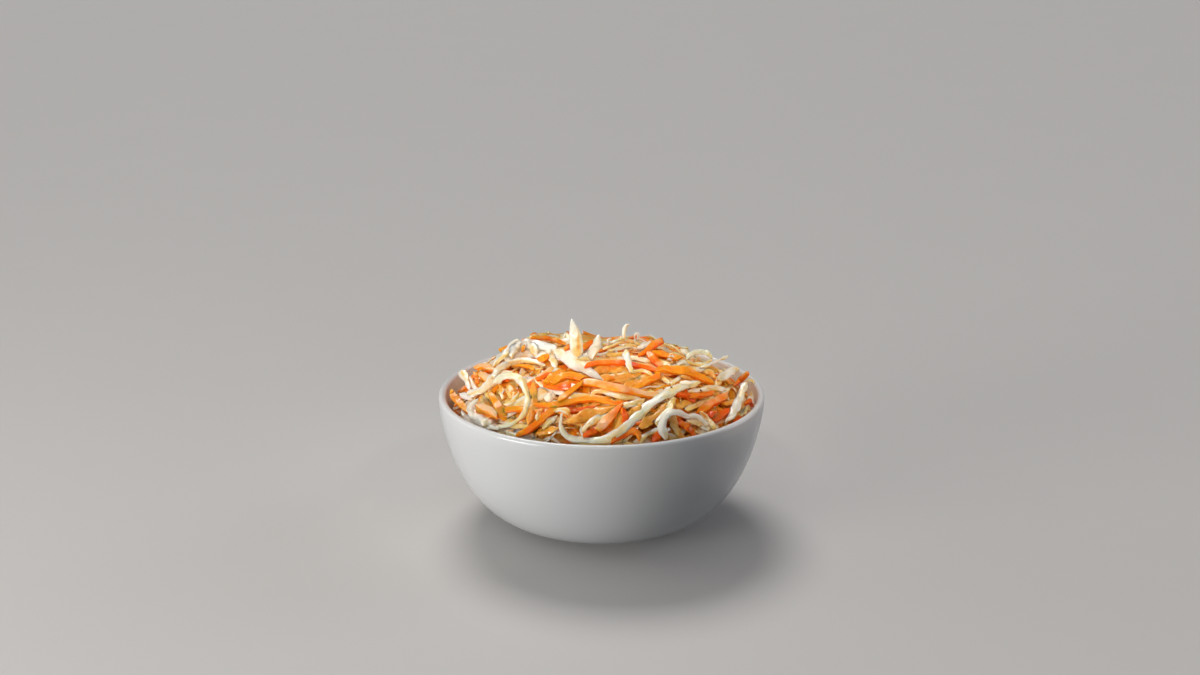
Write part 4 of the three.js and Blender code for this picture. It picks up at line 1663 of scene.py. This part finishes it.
@dataclass(frozen=True)
class Skin:
    """The section that is run along a shred's middle line. Pairs are the least and the most.

    Attributes:
        section: Its corners in order, each as a share of half the breadth and of half the thickness.
        thinning: How much thinner the edges are than the middle.
        waver: How uneven the cut edges are, in millimetres.
        crumple: How deep its lengthwise folds are, as a share of the breadth.
        slant: How far the ends are cut aslant, as a share of the breadth.
        curl: How much the bulge across it comes and goes, as a share of the breadth.
        swell: How much its breadth comes and goes, as a share.
        tip, tip_length: Its breadth at the ends, and over how many breadths it narrows to it.
        tip_round: How blunt it is there; 1 is a straight taper.
        least: The least half of its breadth.
        sways: The wavelengths of its unevenness, and how strong each is.
    """

    section: tuple[Pair, ...] = (
        (-1.0, -0.5), (-0.65, -1.0), (-0.22, -1.0), (0.22, -1.0), (0.65, -1.0), (1.0, -0.5),
        (1.0, 0.5), (0.65, 1.0), (0.22, 1.0), (-0.22, 1.0), (-0.65, 1.0), (-1.0, 0.5),
    )
    thinning: float = 0.6
    waver: float = 0.26
    crumple: float = 0.06
    slant: float = 0.7
    curl: float = 0.07
    swell: float = 0.12
    tip: Pair = (0.15, 0.75)
    tip_length: Pair = (0.5, 1.8)
    tip_round: Pair = (1.3, 3.0)
    least: float = 0.25
    sways: tuple[Pair, ...] = ((17.0, 0.6), (7.0, 0.4), (3.5, 0.25))

    def rings(self, ribbon: Ribbon, rng: Rng) -> tuple[Array, Array]:
        """Points of the skin.

        Args:
            ribbon: The shred.
            rng: The source of random numbers.

        Returns:
            The points, stations by corners by 3, and each one's place along and across in millimetres and
            the shred's own number, of the same shape.
        """
        across, out = np.array(self.section).T[:, None, :]
        walk = np.concatenate([[0.0], np.cumsum(np.linalg.norm(np.diff(ribbon.spine, axis=0), axis=1))])
        edge = self.wander(walk, 2, rng) * self.waver
        sways = self.wander(walk, 2, rng)
        narrow = self.narrowing(walk, ribbon.width.mean(), rng)
        breadth = (ribbon.width * narrow * (1 + self.swell * sways[:, 0]))[:, None]
        half = breadth / 2 + np.where(across > 0, edge[:, :1], edge[:, 1:])
        u = across * np.maximum(half, self.least)
        slant = np.zeros((len(walk), 1))
        slant[0], slant[-1] = rng.uniform(-self.slant, self.slant, 2)
        lines, line = np.unique(across[0], return_inverse=True)
        folds = self.wander(walk, len(lines), rng)[:, line] * self.crumple * breadth
        thick = ribbon.thickness[:, None] / 2 * (1 - self.thinning * across**2)
        cup = ribbon.cup + self.curl * sways[:, 1:]
        v = out * thick + cup * breadth * (0.5 - across**2) + folds
        points = ribbon.spine[:, None, :] + ribbon.side[:, None, :] * u[..., None]
        points = points + ribbon.normal[:, None, :] * v[..., None]
        points = points + (slant * u)[..., None] * ribbon.along[:, None, :]
        most_number = 400.0
        number = np.full(u.shape, rng.uniform(0.0, most_number))
        grain = np.stack([np.broadcast_to(walk[:, None], u.shape), u + v, number], axis=-1)
        return points, grain

    def narrowing(self, walk: Array, breadth: float, rng: Rng) -> Array:
        """The share of its breadth that a shred keeps near its ends, each cut in its own way.

        Args:
            walk: How far along the shred each point is.
            breadth: Its mean breadth.
            rng: The source of random numbers.

        Returns:
            The share at each point.
        """
        kept = np.ones(len(walk))
        for gone in (walk, walk[-1] - walk):
            tip, length, power = (rng.uniform(*pair) for pair in (self.tip, self.tip_length, self.tip_round))
            near = 1 - np.clip(gone / (length * breadth), 0.0, 1.0)
            kept *= 1 - (1 - tip) * near**power
        return kept

    def wander(self, walk: Array, lines: int, rng: Rng) -> Array:
        """Slow random sways along a shred.

        Args:
            walk: How far along the shred each point is.
            lines: How many edges or folds sway, each in its own way.
            rng: The source of random numbers.

        Returns:
            The sways, points by lines.
        """
        sways = np.zeros((len(walk), lines))
        for wavelength, share in self.sways:
            phase = rng.uniform(0.0, math.tau, lines)
            sways += share * np.sin(walk[:, None] / wavelength * math.tau + phase)
        return sways


STICK = Skin(
    section=((-1.0, -0.82), (-0.85, -1.0), (0.85, -1.0), (1.0, -0.82),
             (1.0, 0.82), (0.85, 1.0), (-0.85, 1.0), (-1.0, 0.82)),
    thinning=0.0,
    waver=0.12,
    crumple=0.02,
    slant=0.9,
    curl=0.0,
    swell=0.1,
    tip=(0.3, 0.9),
    tip_length=(0.5, 2.2),
)


def bands(rings: int, corners: int, start: int = 0) -> list[tuple[int, ...]]:
    """Faces between closed rings of points, each ring with the next.

    Args:
        rings: How many rings there are.
        corners: Points of each.
        start: The first point's number.

    Returns:
        The faces, as numbers of points.
    """
    faces = []
    for near in range(start, start + (rings - 1) * corners, corners):
        far = near + corners
        for j in range(corners):
            k = (j + 1) % corners
            faces.append((near + j, far + j, far + k, near + k))
    return faces


@dataclass
class Bundle:
    """All shreds of one kind, joined in one mesh.

    Attributes:
        name: The mesh's name.
        finish: Its material.
        skin: The shreds' section.
        sharp: The angle from which an edge is sharp.
        depth_start: How far over the pile's blurred surface the painted deep shade starts.
        depth_scale: How far down it grows to full.
        closest: The least distance between two rings of a shred's skin.
        lit_from: The way of the light, which a point faces where it is palest.
        painted_side_shade: How much darker a painted shade makes it where it turns from there, and a painted
        light paler where it faces it squarely.
        unturned: How squarely it faces that way if its shade stays as it is; 1 is fully.
        topped: The share of its dressing that an upright face keeps, and how much more a level one does.
        looks: Shade, which gets painted light and shade, dressing, depth for the painted deep shade, and
            place
        across the shred, for each point.
        grains: Place along and across the shred, and the shred's number, for each point.
    """

    name: str
    finish: Dressed
    skin: Skin
    sharp: float
    depth_start: float = 0.6
    depth_scale: float = 4.5
    closest: float = 0.36
    lit_from: Triple = (-0.45, -0.35, 0.8)
    painted_side_shade: float = 0.6
    unturned: float = 0.8
    topped: Pair = (0.45, 0.75)
    points: list[Array] = field(default_factory=list)
    faces: list[tuple[int, ...]] = field(default_factory=list)
    looks: list[Array] = field(default_factory=list)
    grains: list[Array] = field(default_factory=list)
    total: int = 0

    def take(self, ribbon: Ribbon, rng: Rng) -> None:
        """Adds a shred.

        Args:
            ribbon: The shred in its place.
            rng: The source of random numbers.
        """
        rings, grain = self.spaced(*self.skin.rings(ribbon, rng))
        rings, grain = self.capped(rings, grain, ribbon)
        count, corners, _ = rings.shape
        last = self.total + (count - 1) * corners
        self.faces += bands(count, corners, self.total)
        self.faces.append(tuple(range(self.total, self.total + corners)))
        self.faces.append(tuple(reversed(range(last, last + corners))))
        self.points.append(rings.reshape(-1, 3))
        self.grains.append(grain.reshape(-1, 3))
        look = np.zeros((count * corners, 4))
        look[:, 0] = ribbon.shade
        look[:, 1] = ribbon.cream
        # The strength of the painted deep shade.
        look[:, 2] = ribbon.painted_deep_shade
        # Place across, which also masks the painted edge sheen.
        look[:, 3] = np.tile(np.abs(np.array(self.skin.section)[:, 0]), count)
        self.looks.append(look)
        self.total += count * corners

    def spaced(self, rings: Array, grain: Array) -> tuple[Array, Array]:
        """Leaves out the rings of a short shred that stand closer together than they need to.

        Args:
            rings: The skin's points, stations by corners by 3.
            grain: Their places along the shred, of the same shape.

        Returns:
            The rings that stay and their places.
        """
        walk = grain[:, 0, 0]
        kept = [0]
        for i in range(1, len(walk) - 1):
            if min(walk[i] - walk[kept[-1]], walk[-1] - walk[i]) >= self.closest:
                kept.append(i)
        kept.append(len(walk) - 1)
        return rings[kept], grain[kept]

    def capped(self, rings: Array, grain: Array, ribbon: Ribbon) -> tuple[Array, Array]:
        """Rounds both ends off with a smaller ring.

        Args:
            rings: As in spaced.
            grain: As in spaced.
            ribbon: The shred.

        Returns:
            The rings and their places, each with one more at both ends.
        """
        cap_size, cap_length = 0.86, 0.2
        ends = []
        for ring, inner in ((rings[0], rings[1]), (rings[-1], rings[-2])):
            middle = ring.mean(axis=0)
            outward = unit(middle - inner.mean(axis=0))
            out = outward * ribbon.thickness[0] * cap_length
            ends.append(middle + (ring - middle) * cap_size + out)
        rings = np.concatenate([ends[0][None], rings, ends[1][None]])
        grain = np.concatenate([grain[:1], grain, grain[-1:]])
        return rings, grain

    def build(self, pile: Pile, surface: Array) -> bpy.types.Object:
        """Makes the mesh.

        Args:
            pile: The finished pile.
            surface: The finished pile's heights, blurred.

        Returns:
            The object, riding on the part and standing for the CAD heap.
        """
        points = pile.off_wall(np.concatenate(self.points))
        looks = np.concatenate(self.looks)
        # Painted shade: the deeper a point lies under the blurred pile, the more of the deep shade colour it
        # gets.
        below = surface[pile.cells(points[:, 0], points[:, 1])] - points[:, 2] + self.depth_start
        looks[:, 2] *= np.clip(below / self.depth_scale, 0.0, 1.0)
        mesh = bpy.data.meshes.new(self.name)
        mesh.from_pydata((points * METRES).tolist(), [], self.faces)
        shape = bmesh.new()
        shape.from_mesh(mesh)
        bmesh.ops.recalc_face_normals(shape, faces=shape.faces)
        shape.to_mesh(mesh)
        shape.free()
        mesh.shade_smooth()
        normals = np.zeros(len(points) * 3)
        mesh.vertex_normals.foreach_get("vector", normals)
        normals = normals.reshape(-1, 3)
        # Painted light and shade: paler where a point faces lit_from, darker where it turns away.
        facing = np.clip(normals @ unit(np.array(self.lit_from)), 0.0, 1.0)
        looks[:, 0] += self.painted_side_shade * (self.unturned - facing)
        looks[:, 1] *= np.clip(self.topped[0] + self.topped[1] * normals[:, 2], 0.0, 1.0)
        mesh.set_sharp_from_angle(angle=self.sharp)
        look = mesh.attributes.new("look", "FLOAT_COLOR", "POINT")
        look.data.foreach_set("color", looks.ravel())
        grain = mesh.attributes.new("grain", "FLOAT_VECTOR", "POINT")
        grain.data.foreach_set("vector", np.concatenate(self.grains).ravel())
        piece = new_piece(self.name, mesh, self.finish.material())
        dress_as_heap(piece)
        return piece


def dress_as_heap(piece: bpy.types.Object) -> None:
    """Hangs a piece on the root body and hides the CAD heap, which it stands in for.

    Args:
        piece: Its object.
    """
    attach(piece, "root")
    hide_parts("coleslaw")


@dataclass
class Core:
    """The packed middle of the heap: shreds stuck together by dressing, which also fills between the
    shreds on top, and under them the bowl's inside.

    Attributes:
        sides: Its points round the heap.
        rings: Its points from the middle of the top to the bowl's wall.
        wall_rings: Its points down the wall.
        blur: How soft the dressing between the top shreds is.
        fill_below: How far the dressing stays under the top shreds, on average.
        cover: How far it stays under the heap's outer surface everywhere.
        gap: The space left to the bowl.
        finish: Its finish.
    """

    sides: int = 260
    rings: int = 90
    wall_rings: int = 14
    blur: float = 1.3
    fill_below: float = 0.9
    cover: float = 2.2
    gap: float = 0.6
    finish: Packed = Packed()

    def build(self, pile: Pile, packed: Array) -> bpy.types.Object:
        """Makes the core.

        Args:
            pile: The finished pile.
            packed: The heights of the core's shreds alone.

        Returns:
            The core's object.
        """
        heights = np.maximum(packed, pile.smoothed(self.blur) - self.fill_below)
        heights = np.minimum(heights, pile.outer - self.cover)
        first_guess, rounds, crowding = 4.0, 8, 1.6
        angles = np.arange(self.sides) * math.tau / self.sides
        ways = np.column_stack([np.cos(angles), np.sin(angles)])
        edge = np.full(self.sides, pile.bowl.inner_rim - first_guess)
        for _ in range(rounds):
            top = heights[pile.cells(*(ways * edge[:, None]).T)]
            edge = pile.bowl.inner_radius(top) - self.gap
        points = []
        for ring in range(1, self.rings + 1):
            spots = ways * (edge * ring / self.rings)[:, None]
            points.append(np.column_stack([spots, heights[pile.cells(*spots.T)]]))
        lowest = pile.bowl.floor + self.gap
        rim = points[-1][:, 2]
        for ring in range(1, self.wall_rings + 1):
            share = (1 - ring / self.wall_rings) ** crowding
            z = lowest + (rim - lowest) * share
            points.append(np.column_stack([ways * (pile.bowl.inner_radius(z) - self.gap)[:, None], z]))
        middle = heights[pile.cells(np.array([0.0]), np.array([0.0]))][0]
        mesh = self.wrap(np.array(points), middle, lowest)
        piece = new_piece("packed_core", mesh, self.finish.material())
        dress_as_heap(piece)
        return piece

    def wrap(self, rings: Array, top: float, bottom: float) -> bpy.types.Mesh:
        """Closes rings of points into a mesh with a pole at each end.

        Args:
            rings: The points, rings by sides by 3.
            top: Height of the first pole.
            bottom: Height of the last.

        Returns:
            The mesh.
        """
        count = len(rings)
        faces = bands(count, self.sides)
        high, low = count * self.sides, count * self.sides + 1
        last = (count - 1) * self.sides
        for j in range(self.sides):
            k = (j + 1) % self.sides
            faces.append((high, j, k))
            faces.append((low, last + k, last + j))
        points = np.vstack([rings.reshape(-1, 3), [[0.0, 0.0, top], [0.0, 0.0, bottom]]])
        mesh = bpy.data.meshes.new("packed_core")
        mesh.from_pydata((points * METRES).tolist(), [], faces)
        mesh.shade_smooth()
        return mesh


@dataclass(frozen=True)
class Dollop:
    """A blob whose place is listed."""

    place: Pixel
    size: Pixel


DOLLOPS = (
    Dollop((549.5, 395.5), (10, 9)),
    Dollop((549, 351), (6, 5)),
    Dollop((687, 382.5), (14, 5)),
    Dollop((487, 423), (12, 9)),
)
LARGE_SPECKS = (
    Dollop((653, 421), (4.5, 2.0)),
    Dollop((671.5, 386.5), (3, 2)),
    Dollop((701, 391), (2, 2)),
)


@dataclass
class Drops:
    """Small blobs of one stuff, pressed on the finished heap and joined in one mesh.

    Attributes:
        radius, flatness: The least and the most radius, and the height as a share of it.
        detail: How finely each is divided.
        named: Blobs whose places are listed.
        lump: How uneven they are, as a share of the radius.
        most_drop, named_drop: How far a strewn and a named one's edge may hang under its middle.
        named_lift: How far a named one is moved to the camera.
    """

    name: str
    count: int
    radius: Pair
    flatness: float
    detail: int
    seed: int
    named: tuple[Dollop, ...]
    lump: float = 0.5
    most_drop: float = 2.5
    named_drop: float = 0.3
    named_lift: float = 0.5

    def build(self, pile: Pile, surface: Array, material: bpy.types.Material) -> bpy.types.Object:
        """Makes the blobs.

        Args:
            pile: The finished pile.
            surface: The finished pile's heights, blurred.
            material: Their material.

        Returns:
            The object.
        """
        outermost, stretches, thinner = 0.93, (0.7, 1.5), 0.9
        rng = np.random.default_rng(self.seed)
        shape = bmesh.new()
        for dollop in self.named:
            pixels = np.array([dollop.place])
            length = pile.cast(pixels)[0] - self.named_lift
            spot = pile.view.eye + pile.view.rays(pixels)[0] * length
            across, deep = pile.view.size_of(np.array(dollop.size)) / 2
            sizes = (across, deep, deep * thinner)
            self.press(shape, surface, pile, spot, sizes, self.named_drop, rng)
        for _ in range(self.count):
            radius = pile.heap.radius * outermost * math.sqrt(rng.random())
            angle = rng.random() * math.tau
            x, y = radius * math.cos(angle), radius * math.sin(angle) - pile.heap.forward
            z = float(pile.height(np.array([x]), np.array([y]))[0])
            size = rng.uniform(*self.radius)
            stretch = rng.uniform(*stretches)
            sizes = (size * stretch, size / stretch, size * self.flatness)
            self.press(shape, surface, pile, np.array([x, y, z]), sizes, self.most_drop, rng)
        for face in shape.faces:
            face.smooth = True
        mesh = bpy.data.meshes.new(self.name)
        shape.to_mesh(mesh)
        shape.free()
        piece = new_piece(self.name, mesh, material)
        dress_as_heap(piece)
        return piece

    def press(self, shape: bmesh.types.BMesh, surface: Array, pile: Pile, spot: Array,
              sizes: Triple, most_drop: float, rng: Rng) -> None:
        """Adds one blob that follows the heap under it.

        Args:
            shape: The mesh that it joins.
            surface: The pile's heights, blurred.
            pile: The finished pile.
            spot: Where it lies.
            sizes: Its half sizes.
            most_drop: How far its edge may hang under the place where it lies.
            rng: The source of random numbers.
        """
        made = bmesh.ops.create_icosphere(shape, subdivisions=self.detail, radius=1.0)
        turn = Matrix.Rotation(rng.random() * math.tau, 3, "Z")
        phases = rng.uniform(0.0, math.tau, 3)
        waviness = 3.1
        for vert in made["verts"]:
            ball = vert.co.normalized()
            waves = sum(math.sin(waviness * c + p) for c, p in zip(ball, phases))
            swell = 1 + self.lump * waves / 2
            place = turn @ Vector((ball.x * sizes[0], ball.y * sizes[1], ball.z * sizes[2])) * swell
            x, y = place.x + spot[0], place.y + spot[1]
            under = float(surface[pile.cells(np.array([x]), np.array([y]))][0])
            under = min(max(under, spot[2] - most_drop), spot[2] + most_drop)
            vert.co = Vector((x, y, place.z + under)) * METRES


# ---- the heap --------------------


@dataclass
class Heap:
    """The dressed heap: packed core, loose shreds, named shreds, dressing and specks."""

    bowl: BowlForm
    form: HeapForm
    view: View
    scatter: Scatter = Scatter()
    placing: Placing = Placing()
    edge_seed: int = 5
    packed_blur: float = 0.6
    depth_blur: float = 2.5
    relief_blur: float = 0.7

    def bundles(self) -> dict[Kind, Bundle]:
        """Makes an empty bundle for each kind of shred.

        Returns:
            The bundles by kind.
        """
        leaf_edge, stick_edge = math.radians(50.0), math.radians(35.0)
        return {
            CABBAGE: Bundle("shreds_white_cabbage", WHITE_CABBAGE, Skin(), leaf_edge),
            GREENS: Bundle("shreds_green_cabbage", GREEN_CABBAGE, Skin(crumple=0.07), leaf_edge),
            CARROT: Bundle("shreds_carrot", CARROT_FLESH, STICK, stick_edge, painted_side_shade=0.4),
        }

    def build(self) -> list[bpy.types.Object]:
        """Makes every piece of the heap.

        Returns:
            The objects.
        """
        pile = Pile(self.bowl, self.form, self.view)
        under = self.scatter.lay_under(pile)
        log.info("shreds in the core: %d", len(under))
        packed = pile.smoothed(self.packed_blur)
        ribbons = self.scatter.lay_loose(pile)
        log.info("loose shreds: %d", len(ribbons))
        rng = np.random.default_rng(self.edge_seed)
        for named in NAMED:
            ribbon = self.placing.put(named, pile, rng)
            if named.pose is Pose.LAID:
                pile.raise_under(ribbon)
            ribbons.append(ribbon)
        # The blurred surface under which the painted deep shade is measured.
        surface = pile.smoothed(self.depth_blur)
        pieces = [Core().build(pile, packed)]
        bundles = self.bundles()
        for ribbon in ribbons:
            bundles[ribbon.kind].take(ribbon, rng)
        for bundle in bundles.values():
            pieces.append(bundle.build(pile, surface))
        relief = pile.smoothed(self.relief_blur)
        cream = Drops(
            "dressing", count=18, radius=(0.5, 1.2), flatness=0.35, detail=3, seed=31, named=DOLLOPS
        )
        specks = Drops(
            "specks", count=24, radius=(0.15, 0.4), flatness=0.5, detail=1, seed=37, named=LARGE_SPECKS
        )
        pieces.append(cream.build(pile, relief, Cream().material()))
        pieces.append(specks.build(pile, relief, Speck().material()))
        return pieces


def main() -> None:
    """Builds the studio, the bowl and the heap, and reports each piece."""
    logging.basicConfig(level=logging.INFO)
    view = View()
    view.place()
    Studio().build()
    low, high = (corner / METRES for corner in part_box("bowl"))
    form = BowlForm(rim_radius=(high.x - low.x) / 2, height=high.z)
    pieces = [Bowl(form).build()]
    pieces += Heap(form, HeapForm(rim_height=form.height), view).build()
    for piece in pieces:
        corners = sum(len(face.vertices) - 2 for face in piece.data.polygons)
        log.info("%s: %d triangles", piece.name, corners)
    bpy.context.scene.view_settings.view_transform = "Standard"


if __name__ == "__main__":
    main()
